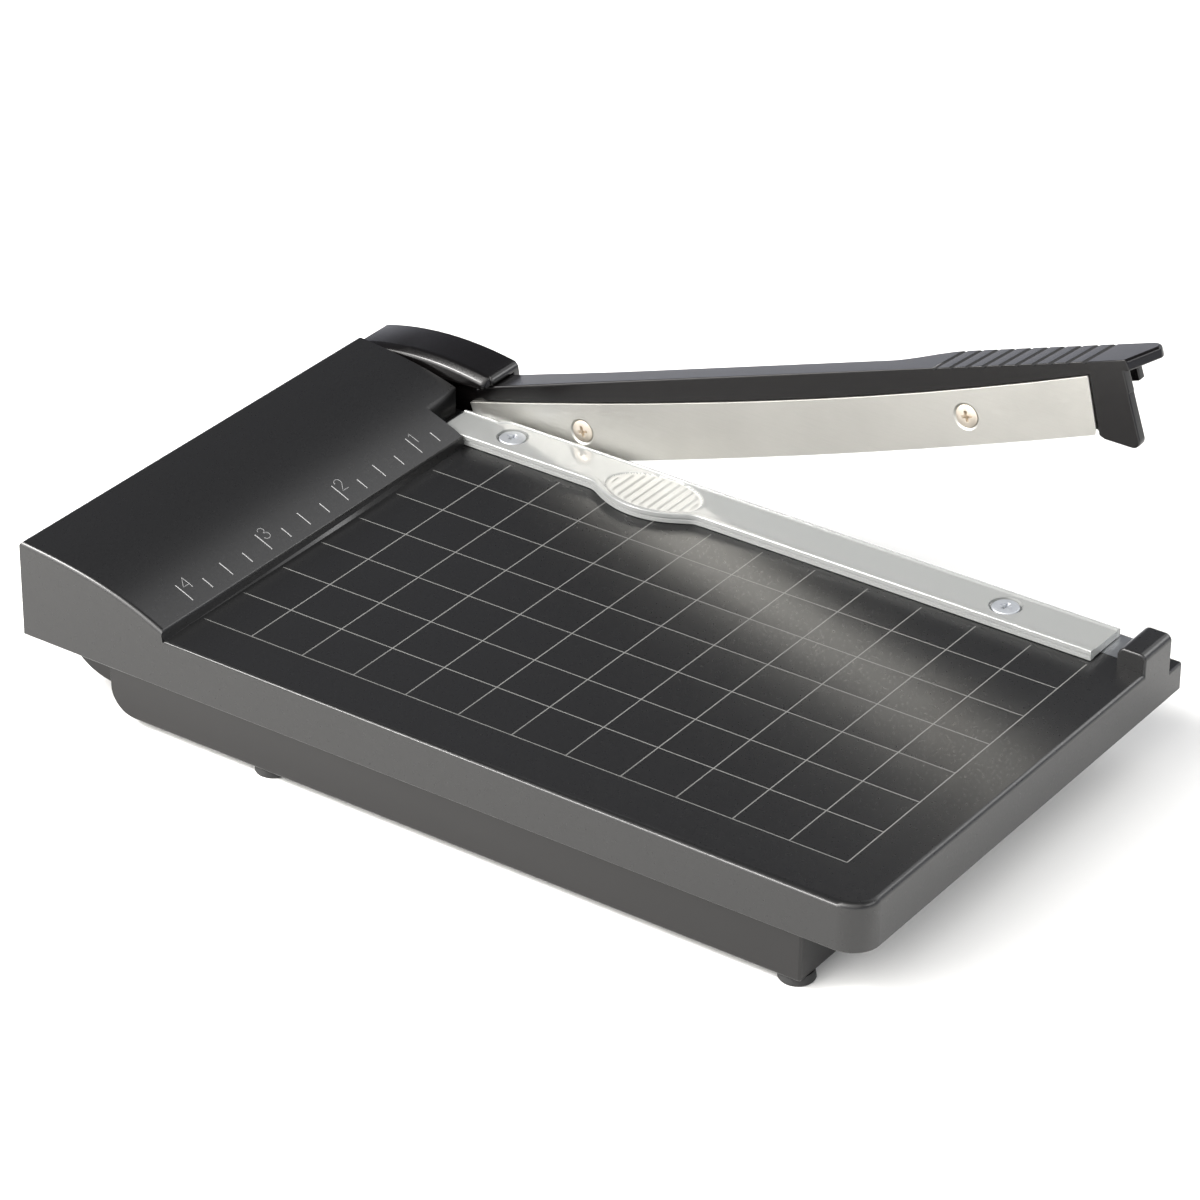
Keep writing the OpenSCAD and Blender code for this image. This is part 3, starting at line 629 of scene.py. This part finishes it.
class TRIMMER_OT_table(bpy.types.Operator):
    """Build the table moulding with its engraved grid and the raised ruler on the head"""
    bl_idname = "trimmer.table"
    bl_label = "Table and ruler"

    def execute(self, context):
        sizes, colours = context.scene.trimmer_sizes, context.scene.trimmer_colours
        abs_black = moulded_abs("Textured black ABS", colours.moulding, grain_mm=0.6,
                                depth_mm=0.006, rough=0.27)
        # The grid lines' grey is painted reflection of the grooves' glossy flanks.
        paint = line_paint_and_sheen("Painted groove sheen", colours.marks)
        table = rounded_copy("table_base", "table_moulding", abs_black, table_rounding(sizes))
        for lengthwise in (True, False):
            knives = line_cutters(sizes.line_width / MM, sizes.line_depth / MM,
                                  sizes.grid_pitch / MM, lengthwise)
            cut(table, mesh_object("knives", knives, [paint]))
        shade(table)
        smooth_crown(table)
        put(table, "base", "black_moulding", "table_base")
        bright = line_paint_and_sheen("Light ruler paint", colours.ruler)
        marks = mesh_object("ruler_marks", ruler_marks(sizes.tick_width / MM,
                                                       sizes.digit_height / MM), [bright])
        put(marks, "base", "black_moulding")
        return {"FINISHED"}


# Housing and feet

# A foot's height under the housing, and the radius of its shank.
FOOT_RISE = 2.0
SHANK_R = 1.5


class TRIMMER_OT_housing(bpy.types.Operator):
    """Build the lower housing and the four rubber feet under it"""
    bl_idname = "trimmer.housing"
    bl_label = "Housing and feet"

    def execute(self, context):
        sizes, colours = context.scene.trimmer_sizes, context.scene.trimmer_colours
        small = sizes.small_round / MM
        abs_black = moulded_abs("Satin black ABS", colours.housing, grain_mm=0.5,
                                depth_mm=0.006, rough=0.29, ior=1.42)
        housing = rounded_copy("lower_housing", "housing_shell", abs_black,
                               lambda low, high: small if low.z < -SKIRT_H - 0.5 else 0.0)
        shade(housing)
        put(housing, "base", "black_housing", "lower_housing")
        rubber = moulded_rubber("Black moulded rubber", colours.rubber)
        for node in [n for n in frame["nodes"] if n.startswith("foot_")]:
            low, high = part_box(node)
            middle = (low + high) / 2
            radius = (high.x - low.x) / 2 / MM
            height = (high.z - low.z) / MM
            build = bmesh.new()
            turned(build, Matrix.Translation((middle.x, middle.y, low.z)), [
                (0, 0.35), (radius * 0.45, 0.3), (radius * 0.6, 0), (radius * 0.88, 0),
                (radius * 0.96, 0.12), (radius, 0.4), (radius * 0.97, FOOT_RISE * 0.6),
                (radius * 0.9, FOOT_RISE), (SHANK_R, FOOT_RISE), (SHANK_R, height), (0, height)])
            foot = mesh_object(node + "_pad", build, [rubber])
            shade(foot, 40.0)
            put(foot, "base", "rubber", node)
        return {"FINISHED"}


# Clear guard

GUARD_LEFT, GUARD_RIGHT = -12.7, -1.0
# Heights of the left wall's foot, the underside, the two ridges and the band between them.
GUARD_FOOT, GUARD_FLOOR, GUARD_TOP, GUARD_PLATEAU = 0.2, 0.4, 2.4, 2.1
# Width of each ridge, and over what length it falls to the band.
LEFT_RIDGE, LEFT_FALL = 1.3, 0.35
RIGHT_RIDGE, RIGHT_FALL = 1.1, 0.3
# Rounding of the left ridge's outer edge; drop and width of the slope at the right edge.
LEFT_ROUND = 0.22
RIGHT_DROP, RIGHT_SLOPE = 0.4, 0.8
# The left edge's bulge beside the thumb rest: its middle, reach, half length and fillet.
THUMB_Y, THUMB_OUT, THUMB_HALF, THUMB_FILLET = -45.7, 4.6, 12.5, 0.6
# The thumb rest's oval: its middle, its half axes, and how deep its pan lies.
PAD_X, PAD_Y, PAD_A, PAD_B = -9.3, -46.0, 6.9, 11.2
PAD_SINK = 0.3
# A rib's half width and the width of its flank, as shares of half the pitch.
RIB_HALF, RIB_FLANK = 0.62, 0.34
# Where the ribs end and where the pan's wall stands, as shares of the oval, with their slopes.
RIB_END, RIB_FADE = 0.93, 0.05
PAN_WALL, PAN_SLOPE = 0.97, 0.06
# The pan keeps this far from the left and the right edge.
PAN_LEFT, PAN_RIGHT = 1.2, 0.9
# The right edge runs in at 45 degrees behind NOTCH_Y, as far as NOTCH_X.
NOTCH_Y, NOTCH_X = -3.6, -2.4
# The sinks for the screws' heads: places, radius and depth.
DIMPLES = ((-6.8, -8.0), (-6.8, -129.5))
DIMPLE_R, DIMPLE_H = 3.5, 1.1
# The step in the guard's left wall: distance into the wall and height, from its foot upwards.
GUARD_WALL = ((0.0, 0.95), (0.28, 1.05), (0.28, 1.3), (0.0, 1.42))
# The mesh's columns: distances from the left and the right edge, and how many steps between them.
# The first LEFT_FOOT columns stand on the wall's foot.
LEFT_COLUMNS = (0, 0.1, 0.22, 0.9, 1.36, 1.5, 1.65)
RIGHT_COLUMNS = (1.45, 1.25, 1.1, 0.8, 0.1, 0)
BAND_COLUMNS = 30
LEFT_FOOT = 4
# Steps between the mesh's stations: by the thumb rest's middle, farther out and by the notch,
# and elsewhere; and how far the first two reach from that middle.
FINE_STEP, MIDDLE_STEP, LONG_STEP = 0.2, 0.7, 2.0
FINE_RUN, MIDDLE_RUN = 12, 20
NOTCH_RUN = 2.4


def guard_edges(y):
    """The guard's left and right edge at a place along it."""
    bulge = THUMB_OUT * (1 - ((y - THUMB_Y) / THUMB_HALF) ** 2)
    thumb = (bulge + math.hypot(bulge, THUMB_FILLET)) / 2
    corner = max(0.0, min(GUARD_RIGHT - NOTCH_X, y - NOTCH_Y))
    return GUARD_LEFT - thumb, GUARD_RIGHT - corner


def pad_reach(x, y):
    """Distance from the thumb rest's middle as a share of its oval."""
    return math.hypot((x - PAD_X) / PAD_A, (y - PAD_Y) / PAD_B)


def guard_top(x, y, left, right, rib_pitch, rib_count):
    """Height of the guard's top: ridges, the band between them, and the ribbed thumb rest."""
    inner = x - left
    outer = right - x
    ridge = GUARD_TOP - GUARD_PLATEAU
    height = GUARD_PLATEAU
    height += ridge * (1 - smooth_step((inner - LEFT_RIDGE) / LEFT_FALL))
    height += ridge * (1 - smooth_step((outer - RIGHT_RIDGE) / RIGHT_FALL))
    height = min(GUARD_TOP, height)
    height -= LEFT_ROUND * (1 - min(1.0, inner / LEFT_ROUND)) ** 2
    height -= RIGHT_DROP * max(0.0, 1 - outer / RIGHT_SLOPE)
    reach = pad_reach(x, y)
    if inner > PAN_LEFT and outer > PAN_RIGHT:
        inside = 1 - smooth_step((reach - PAN_WALL) / PAN_SLOPE)
        phase = (y - PAD_Y) / rib_pitch + rib_count / 2
        rib = 0.0
        if 0 < phase < rib_count and reach < RIB_END:
            share = abs((phase % 1.0) - 0.5) * 2
            rib = smooth_step((RIB_HALF - share) / RIB_FLANK)
            rib *= smooth_step((RIB_END - reach) / RIB_FADE)
        height += inside * PAD_SINK * (rib - 1)
    return min(GUARD_TOP, height)


def guard_stations():
    """Places along the guard, close together where the thumb rest needs them."""
    y, rear = table_mm(GUARD_LOW).y, table_mm(GUARD_HIGH).y
    places = []
    while y < rear - 0.01:
        places.append(y)
        from_rest = abs(y - PAD_Y)
        if from_rest < FINE_RUN:
            y += FINE_STEP
        elif from_rest < MIDDLE_RUN or y > NOTCH_Y - NOTCH_RUN:
            y += MIDDLE_STEP
        else:
            y += LONG_STEP
    return places + [rear]


def guard_mesh(rib_pitch, rib_count):
    """The clear guard as one closed surface over stations along it."""
    build = bmesh.new()
    rows = []
    for y in guard_stations():
        left, right = guard_edges(y)
        start, end = left + LEFT_COLUMNS[-1], right - RIGHT_COLUMNS[0]
        xs = [left + v for v in LEFT_COLUMNS]
        xs += [start + (end - start) * i / BAND_COLUMNS for i in range(1, BAND_COLUMNS)]
        xs += [right - v for v in RIGHT_COLUMNS]
        top = [build.verts.new(table_point(x, y, guard_top(x, y, left, right, rib_pitch,
                                                           rib_count))) for x in xs]
        low = [build.verts.new(table_point(x, y, GUARD_FOOT if i < LEFT_FOOT else GUARD_FLOOR))
               for i, x in enumerate(xs)]
        wall = [build.verts.new(table_point(left + inset, y, z)) for inset, z in GUARD_WALL]
        rows.append(top + low[::-1] + wall)
    for face in skin(build, rows):
        middle = table_mm(face.calc_center_median())
        on_rest = pad_reach(middle.x, middle.y) < 1.0 and middle.z > GUARD_PLATEAU - 0.4
        face.material_index = 1 if on_rest else 0
    half = (len(rows[0]) - len(GUARD_WALL)) // 2
    for row in (rows[0], rows[-1]):
        for i in range(half - 1):
            build.faces.new([row[i], row[i + 1], row[2 * half - 2 - i], row[2 * half - 1 - i]])
        build.faces.new([row[0], *row[2 * half - 1:]])
    close_normals(build)
    return build


class TRIMMER_OT_guard(bpy.types.Operator):
    """Build the clear guard with its ribbed thumb rest and its two dimples"""
    bl_idname = "trimmer.guard"
    bl_label = "Clear guard"

    def execute(self, context):
        sizes, colours = context.scene.trimmer_sizes, context.scene.trimmer_colours
        clear = milky_acrylic("Milky moulded acrylic", colours.clear, grain_mm=2.5, rough=0.1,
                              clearness=0.5)
        frosted = milky_acrylic("Frosted thumb rest", colours.frosted, grain_mm=0.4, rough=0.4,
                                clearness=0.05)
        guard = mesh_object("guard_rail", guard_mesh(sizes.rib_pitch / MM, sizes.rib_count),
                            [clear, frosted])
        for x, y in DIMPLES:
            tool = bmesh.new()
            turned(tool, Matrix.Translation(table_point(x, y, GUARD_TOP - DIMPLE_H)), [
                (0, 0), (DIMPLE_R * 0.96, 0), (DIMPLE_R, 0.12), (DIMPLE_R, 0.9),
                (DIMPLE_R * 1.12, 2), (0, 2)])
            cut(guard, mesh_object("dimple", tool, [clear]))
        shade(guard, 30.0)
        put(guard, "base", "clear_acrylic", "clear_guard")
        return {"FINISHED"}


# Steel

# The strip's right corner is broken by this, and its left edge is ground down over this width.
STRIP_BREAK = 0.12
STRIP_BEVEL = 1.7
# The blade's front end lies beyond this, in lever millimetres.
BLADE_END = -177.0


class TRIMMER_OT_steel(bpy.types.Operator):
    """Build the ground bed strip with its bevelled left edge, and the curved blade"""
    bl_idname = "trimmer.steel"
    bl_label = "Strip and blade"

    def execute(self, context):
        colours = context.scene.trimmer_colours
        ground = worked_steel("Ground bed steel", colours.steel, grain_mm=0.25, depth_mm=0.004,
                              rough=0.36, along=(1, 0.12, 1))
        satin = worked_steel("Satin rolled blade steel", colours.blade, grain_mm=0.35,
                             depth_mm=0.003, rough=0.47, along=(1, 0.1, 1), cloudy=0.3,
                             cloud_mm=22)
        low, high = table_mm(STRIP_LOW), table_mm(STRIP_HIGH)
        build = bmesh.new()
        profile = [(low.x, low.z), (high.x, low.z), (high.x, high.z - STRIP_BREAK),
                   (high.x - STRIP_BREAK, high.z), (low.x + STRIP_BEVEL, high.z), (low.x, 0.02)]
        prism(build, [table_point(x, low.y, z) for x, z in profile],
              Vector((0, (high.y - low.y) * MM, 0)))
        close_normals(build)
        strip = mesh_object("bed_strip_ground", build, [ground])
        shade(strip, 3.0)
        put(strip, "base", "bed_steel", "bed_strip")
        blade = rounded_copy("blade", "blade_curved", satin,
                             lambda low, high: 0.3 if high.y < BLADE_END else 0.12, lever_mm)
        shade(blade)
        put(blade, "arm", "blade_steel", "blade")
        return {"FINISHED"}


# Lever and pivot cover, in lever millimetres

GRIP_FRONT, GRIP_REAR = -190.0, -140.0
LEVER_TOP = 8.0
# The top's edge on the blade's side lies left of this, and is rounded by this.
BLADE_SIDE_X, BLADE_SIDE_ROUND = 0.5, 0.2
# The finger hook lies within this of the grip's front; its longer edges stay sharp.
HOOK_RUN, HOOK_EDGE = 12, 9
# The finger grooves: how many, their spacing, the foremost one's place and their slant.
GROOVES, GROOVE_PITCH, GROOVE_LAST, GROOVE_SKEW = 10, 3.94, -179.2, math.radians(10.5)
# A groove's knife: its middle across the lever, where it starts from there, and its length.
GROOVE_X, GROOVE_START, GROOVE_RUN = 0.35, -3, 16
# Half of a groove's section: distance from its middle and height.
GROOVE_HALF = ((0.95, 0.35), (0.72, 0.02), (0.56, -0.04), (0.46, -0.14), (0.36, -0.36),
               (0.16, -0.46))


def flatten_grooves(build):
    """Lifts the floors of the finger grooves up to the lever's flat top."""
    for vert in build.verts:
        place = lever_mm(vert.co)
        if place.y < GRIP_REAR and LEVER_TOP - 0.6 < place.z < LEVER_TOP - 0.002:
            place.z = LEVER_TOP
            vert.co = LEVER @ (place * MM)
    weld(build)


def groove_knives():
    """Knives for the finger grooves, with eased rims."""
    build = bmesh.new()
    section = [(y, z) for y, z in GROOVE_HALF] + [(-y, z) for y, z in reversed(GROOVE_HALF)]
    for i in range(GROOVES):
        middle = Vector((GROOVE_X, GROOVE_LAST + i * GROOVE_PITCH, LEVER_TOP)) * MM
        at = LEVER @ Matrix.Translation(middle) @ Matrix.Rotation(-GROOVE_SKEW, 4, "Z")
        ring = [at @ (Vector((GROOVE_START, y, z)) * MM) for y, z in section]
        prism(build, ring, at.to_3x3() @ Vector((GROOVE_RUN, 0, 0)) * MM)
    close_normals(build)
    return build


class TRIMMER_OT_lever(bpy.types.Operator):
    """Build the lever with its grooved grip, and the pivot cover at its rear"""
    bl_idname = "trimmer.lever"
    bl_label = "Lever and pivot cover"

    def execute(self, context):
        sizes, colours = context.scene.trimmer_sizes, context.scene.trimmer_colours
        abs_grip = moulded_abs("Fine-textured black ABS", colours.lever, grain_mm=0.5,
                               depth_mm=0.004, rough=0.2, ior=1.47)
        long_edge, small, cover_edge = (v / MM for v in (sizes.lever_round, sizes.small_round,
                                                         sizes.cover_round))

        def lever_rounding(low, high):
            if low.z > LEVER_TOP - NEAR:
                return BLADE_SIDE_ROUND if high.x < BLADE_SIDE_X else long_edge
            if high.y < GRIP_FRONT + HOOK_RUN and high.y - low.y < HOOK_EDGE:
                return small * 0.7
            return 0.0
        lever = rounded_copy("arm_lever", "lever_moulding", abs_grip, lever_rounding, lever_mm,
                             flatten_grooves)
        cut(lever, mesh_object("groove_knives", groove_knives(), [abs_grip]))
        shade(lever)
        put(lever, "arm", "black_lever", "arm_lever")
        cover = rounded_copy("pivot_cover", "cover_moulding", abs_grip,
                             lambda low, high: cover_edge if high.z > LEVER_TOP - 1 else 0.0,
                             lever_mm)
        shade(cover)
        put(cover, "arm", "black_lever", "pivot_cover")
        return {"FINISHED"}


# Screws and nuts

# A guard screw: radius and height of its shank over its foot, of its head over the sink's floor.
GUARD_SHANK = ((0, 0), (1.4, 0), (1.5, 0.2))
GUARD_HEAD = ((1.5, 0), (2.85, 0), (2.9, 0.1), (2.9, 0.5), (2.75, 0.68), (2.4, 0.76), (0, 0.84))
# A blade screw, countersunk: radius and height over the blade's face.
BLADE_SCREW = ((0, -5.35), (1.4, -5.35), (1.5, -5.15), (1.5, -1.2), (2.5, -0.36), (2.5, -0.26),
               (2.4, -0.2), (0, -0.16))
# Places of the blade screws, y and z on the lever.
BLADE_SCREWS = ((-49.9, -3.0), (-148.5, -2.5))
# Width of the cross in a guard screw and in a blade screw.
GUARD_CROSS, BLADE_CROSS = 2.7, 2.5
# Width and depth of a cross's slots, as shares of the cross.
CROSS_SLOT, CROSS_DEPTH = 0.28, 0.45


def cross_knife(place, width):
    """A tapered cross that cuts a screw's recess, pointing down the z axis of place."""
    slot, depth = width * CROSS_SLOT, width * CROSS_DEPTH
    build = bmesh.new()
    for turn in (0, math.pi / 2):
        face = place @ Matrix.Rotation(turn, 4, "Z")
        rings = []
        for reach, half, height in ((width / 2, slot / 2, 0.3), (width / 2, slot / 2, 0),
                                    (width / 4, slot / 2.6, -depth)):
            rings.append([build.verts.new(face @ Vector((x * reach, y * half, height)))
                          for x, y in ((-1, -1), (1, -1), (1, 1), (-1, 1))])
        skin(build, rings)
        build.faces.new(rings[0])
        build.faces.new(rings[-1][::-1])
    close_normals(build)
    return build


def screw(name, place, profile, cross, material):
    """A turned screw with a cross recess in its head, whose outside is along z of place."""
    build = bmesh.new()
    turned(build, place, profile, 48)
    made = mesh_object(name, build, [material])
    top = Matrix.Translation((0, 0, profile[-1][1] * MM))
    knife = cross_knife(place @ top @ Matrix.Scale(MM, 4), cross)
    cut(made, mesh_object("cross", knife, [material]), crossed=True)
    return made


def dress(node, material):
    """Gives a CAD node, whose shape is right, its material."""
    obj = frame["nodes"][node]
    if not obj.material_slots:
        obj.data.materials.append(material)
    for place in obj.material_slots:
        place.link = "OBJECT"
        place.material = material


class TRIMMER_OT_screws(bpy.types.Operator):
    """Build the cross-head screws of the guard and the blade and their nuts, and plate the
    housing's screws
    """
    bl_idname = "trimmer.screws"
    bl_label = "Screws and nuts"

    def execute(self, context):
        colours = context.scene.trimmer_colours
        nickel = worked_steel("Nickel-plated steel", colours.plating, grain_mm=2.0,
                              depth_mm=0.0005, rough=0.45)
        zinc = worked_steel("Zinc-plated steel", colours.zinc, grain_mm=0.3, depth_mm=0.003,
                            rough=0.34)
        dull = worked_steel("Matt zinc plating", colours.zinc, grain_mm=0.8, depth_mm=0.001,
                            rough=0.62)
        foot = table_mm(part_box("guard_screws")[0]).z
        profile = [(r, foot + z) for r, z in GUARD_SHANK]
        profile += [(r, GUARD_TOP - DIMPLE_H + z) for r, z in GUARD_HEAD]
        made = join("guard_screws_plated", [
            screw("guard_screw", Matrix.Translation(table_point(x, y, 0)), profile,
                  GUARD_CROSS, dull) for x, y in DIMPLES])
        shade(made, 35.0)
        put(made, "base", "zinc_steel", "guard_screws")

        outwards = Matrix.Rotation(-math.pi / 2, 4, "Y")
        made = join("blade_screws_plated", [
            screw("blade_screw", LEVER @ Matrix.Translation(Vector((0, y, z)) * MM) @ outwards,
                  BLADE_SCREW, BLADE_CROSS, nickel) for y, z in BLADE_SCREWS])
        shade(made, 35.0)
        put(made, "arm", "zinc_steel", "blade_screws")

        for node, body in (("guard_nuts", "base"), ("blade_nuts", "arm"), ("lock_nut", "base")):
            nuts = rounded_copy(node, node + "_plated", zinc, lambda low, high: 0.25)
            shade(nuts)
            put(nuts, body, "zinc_steel", node)
        dress("housing_screws", zinc)
        return {"FINISHED"}


# Pivot

SPRING_TURNS = 5
WIRE = 1.0
# Points of the spring's wire in a turn, and round the wire.
TURN_POINTS, WIRE_SIDES = 32, 12


def spring_mesh(low, high):
    """The coil of the pivot's spring, in a box between two corners in metres."""
    build = bmesh.new()
    centre = (low + high) / 2
    thick = WIRE * MM / 2
    radius = (high.z - low.z) / 2 - thick
    steps = SPRING_TURNS * TURN_POINTS
    rings = []
    for i in range(steps + 1):
        a = 2 * math.pi * i / TURN_POINTS
        x = low.x + thick + (high.x - low.x - 2 * thick) * i / steps
        ring = []
        for j in range(WIRE_SIDES):
            b = 2 * math.pi * j / WIRE_SIDES
            r = radius + thick * math.cos(b)
            ring.append(build.verts.new((x + thick * math.sin(b), centre.y + math.cos(a) * r,
                                         centre.z + math.sin(a) * r)))
        rings.append(ring)
    skin(build, rings)
    build.faces.new(rings[0])
    build.faces.new(rings[-1][::-1])
    close_normals(build)
    return build


class TRIMMER_OT_pivot(bpy.types.Operator):
    """Build the parts that the lever turns on: bolt, bush, washers, plate and spring"""
    bl_idname = "trimmer.pivot"
    bl_label = "Pivot"

    def execute(self, context):
        colours = context.scene.trimmer_colours
        zinc = worked_steel("Zinc-plated pivot steel", colours.zinc, grain_mm=0.3,
                            depth_mm=0.003, rough=0.34)
        plate = worked_steel("Cold-rolled steel plate", colours.steel, grain_mm=0.3,
                             depth_mm=0.004, rough=0.38, along=(1, 0.2, 1))
        brass = worked_steel("Turned brass", colours.brass, grain_mm=0.2, depth_mm=0.003,
                             rough=0.28, along=(4, 1, 1))
        wire = worked_steel("Oiled spring wire", colours.spring, grain_mm=0.2, depth_mm=0.003,
                            rough=0.3)
        for node, body, slot, material, width in (
                ("pivot_bolt", "base", "zinc_steel", zinc, 0.3),
                ("pivot_bush", "arm", "bush_brass", brass, 0.1),
                ("thrust_washer", "base", "zinc_steel", zinc, 0.08),
                ("spring_washer", "base", "zinc_steel", zinc, 0.1),
                ("pivot_plate", "base", "bed_steel", plate, 0.15),
                ("pivot_plate_screws", "base", "zinc_steel", zinc, 0.3)):
            piece = rounded_copy(node, node + "_finished", material,
                                 lambda low, high, width=width: width)
            shade(piece)
            put(piece, body, slot, node)
        low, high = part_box("pivot_spring")
        spring = mesh_object("spring_coil", spring_mesh(low, high), [wire])
        shade(spring, 50.0)
        put(spring, "base", "spring_steel", "pivot_spring")
        return {"FINISHED"}


# Stage

# Half the floor's side, in metres.
FLOOR_HALF = 3.0
# The studio's haze: its colour, its strengths, and between which heights of the sky it fades.
HAZE_COLOUR = "#eef0fb"
HORIZON_STRENGTH, OVERHEAD_STRENGTH = 1.3, 0.18
HAZE_LOW, HAZE_HIGH = 0.05, 0.36
# The camera, solved from the grid's crossings: its place in the frame and its direction.
CAMERA_PLACE = (-697.9, -481.84, 518.73)
CAMERA_FORWARD = (0.7114, 0.4920, -0.5018)
CAMERA_ROLL = math.radians(0.60)
CAMERA_LENS = 147.15
# Name, place and target in metres, width and height in metres, power in watts, colour.
SOFTBOXES = (
    ("Key softbox", (-0.75, -0.35, 0.85), (0, 0, 0), (1.2, 1.2), 8.5, (1, 0.985, 0.965)),
    ("Rear left softbox", (-0.72, 0.50, 0.52), (0, 0, 0), (1.1, 0.8), 16, (1, 0.98, 0.96)),
    ("Left edge lamp", (-0.52, 0.49, 0.70), (0, 0, 0), (0.35, 0.25), 11.5, (1, 0.98, 0.96)),
    ("Left floor softbox", (-0.58, 0.0, 0.55), (-0.30, 0, 0), (0.6, 0.6), 1.5, (1, 0.985, 0.97)),
    ("Right softbox", (0.80, -0.22, 0.74), (0, 0, 0), (0.9, 0.7), 3, (1, 1, 1)),
    ("Right front softbox", (0.78, -0.55, 0.52), (0, 0, 0), (0.5, 0.3), 2, (1, 1, 1)),
    ("Front softbox", (0.15, -1.15, 0.85), (0, 0, 0), (0.9, 0.6), 6, (1, 1, 1)),
)


def hazy_world():
    """A studio room whose walls are bright near the floor and dim overhead."""
    world = bpy.data.worlds.new("Studio")
    world.use_nodes = True
    tree = world.node_tree
    sky = add_node(tree, "ShaderNodeTexCoord").outputs["Generated"]
    height = add_node(tree, "ShaderNodeSeparateXYZ", {"Vector": sky})
    haze = add_node(tree, "ShaderNodeMapRange", interpolation_type="SMOOTHSTEP", inputs={
        "Value": height.outputs["Z"], "From Min": HAZE_LOW, "From Max": HAZE_HIGH,
        "To Min": HORIZON_STRENGTH, "To Max": OVERHEAD_STRENGTH})
    back = tree.nodes["Background"]
    back.inputs["Color"].default_value = linear(HAZE_COLOUR)
    tree.links.new(haze.outputs["Result"], back.inputs["Strength"])
    return world


def add_softbox(collection, name, place, target, size, power, tint):
    """A soft rectangular lamp that looks at its target."""
    lamp = bpy.data.lights.new(name, "AREA")
    lamp.shape = "RECTANGLE"
    lamp.size, lamp.size_y = size
    lamp.energy = power
    lamp.color = tint
    holder = bpy.data.objects.new(name, lamp)
    holder.location = place
    aim = Vector(target) - Vector(place)
    holder.rotation_euler = aim.to_track_quat("-Z", "Y").to_euler()
    collection.objects.link(holder)


def add_camera(collection):
    """The camera that took the photograph."""
    camera = bpy.data.cameras.new("Camera")
    camera.lens = CAMERA_LENS
    camera.clip_end = 20.0
    eye = bpy.data.objects.new("Camera", camera)
    forward = Vector(CAMERA_FORWARD).normalized()
    level = forward.cross(Vector((0, 0, 1))).normalized()
    right = level * math.cos(CAMERA_ROLL) + level.cross(forward) * math.sin(CAMERA_ROLL)
    up = right.cross(forward)
    turn = Matrix((right, up, -forward)).transposed().to_4x4()
    eye.matrix_world = Matrix.Translation(Vector(CAMERA_PLACE) * MM) @ turn
    collection.objects.link(eye)
    return eye


class TRIMMER_OT_stage(bpy.types.Operator):
    """Lay the pale floor and set the soft light and the camera"""
    bl_idname = "trimmer.stage"
    bl_label = "Stage"

    def execute(self, context):
        scene = context.scene
        build = bmesh.new()
        build.faces.new([build.verts.new((x * FLOOR_HALF, y * FLOOR_HALF, 0)) for x, y in
                         ((-1, -1), (1, -1), (1, 1), (-1, 1))])
        paper = studio_paper("Pale paper floor", scene.trimmer_colours.floor)
        floor = mesh_object("floor", build, [paper])
        scene.world = hazy_world()
        scene.view_settings.view_transform = "Standard"
        for softbox in SOFTBOXES:
            add_softbox(scene.collection, *softbox)
        scene.camera = add_camera(scene.collection)
        return {"FINISHED"}


class TRIMMER_PT_panel(bpy.types.Panel):
    """Lists the trimmer's sizes, colours and pieces"""
    bl_idname = "TRIMMER_PT_panel"
    bl_label = "Paper trimmer"
    bl_space_type = "VIEW_3D"
    bl_region_type = "UI"
    bl_category = "Trimmer"

    def draw(self, context):
        for group in (context.scene.trimmer_sizes, context.scene.trimmer_colours):
            box = self.layout.box()
            for name in group.__annotations__:
                box.prop(group, name)
        column = self.layout.column(align=True)
        for operator in OPERATORS:
            column.operator(operator.bl_idname)


OPERATORS = (TRIMMER_OT_table, TRIMMER_OT_housing, TRIMMER_OT_guard, TRIMMER_OT_steel,
             TRIMMER_OT_lever, TRIMMER_OT_screws, TRIMMER_OT_pivot, TRIMMER_OT_stage)
CLASSES = (TrimmerSizes, TrimmerColours, *OPERATORS, TRIMMER_PT_panel)


def register():
    for cls in CLASSES:
        bpy.utils.register_class(cls)
    bpy.types.Scene.trimmer_sizes = PointerProperty(type=TrimmerSizes)
    bpy.types.Scene.trimmer_colours = PointerProperty(type=TrimmerColours)


def unregister():
    del bpy.types.Scene.trimmer_colours
    del bpy.types.Scene.trimmer_sizes
    for cls in reversed(CLASSES):
        bpy.utils.unregister_class(cls)


def main():
    register()
    bpy.ops.trimmer.table()
    bpy.ops.trimmer.housing()
    bpy.ops.trimmer.guard()
    bpy.ops.trimmer.steel()
    bpy.ops.trimmer.lever()
    bpy.ops.trimmer.screws()
    bpy.ops.trimmer.pivot()
    bpy.ops.trimmer.stage()


if __name__ == "__main__":
    main()
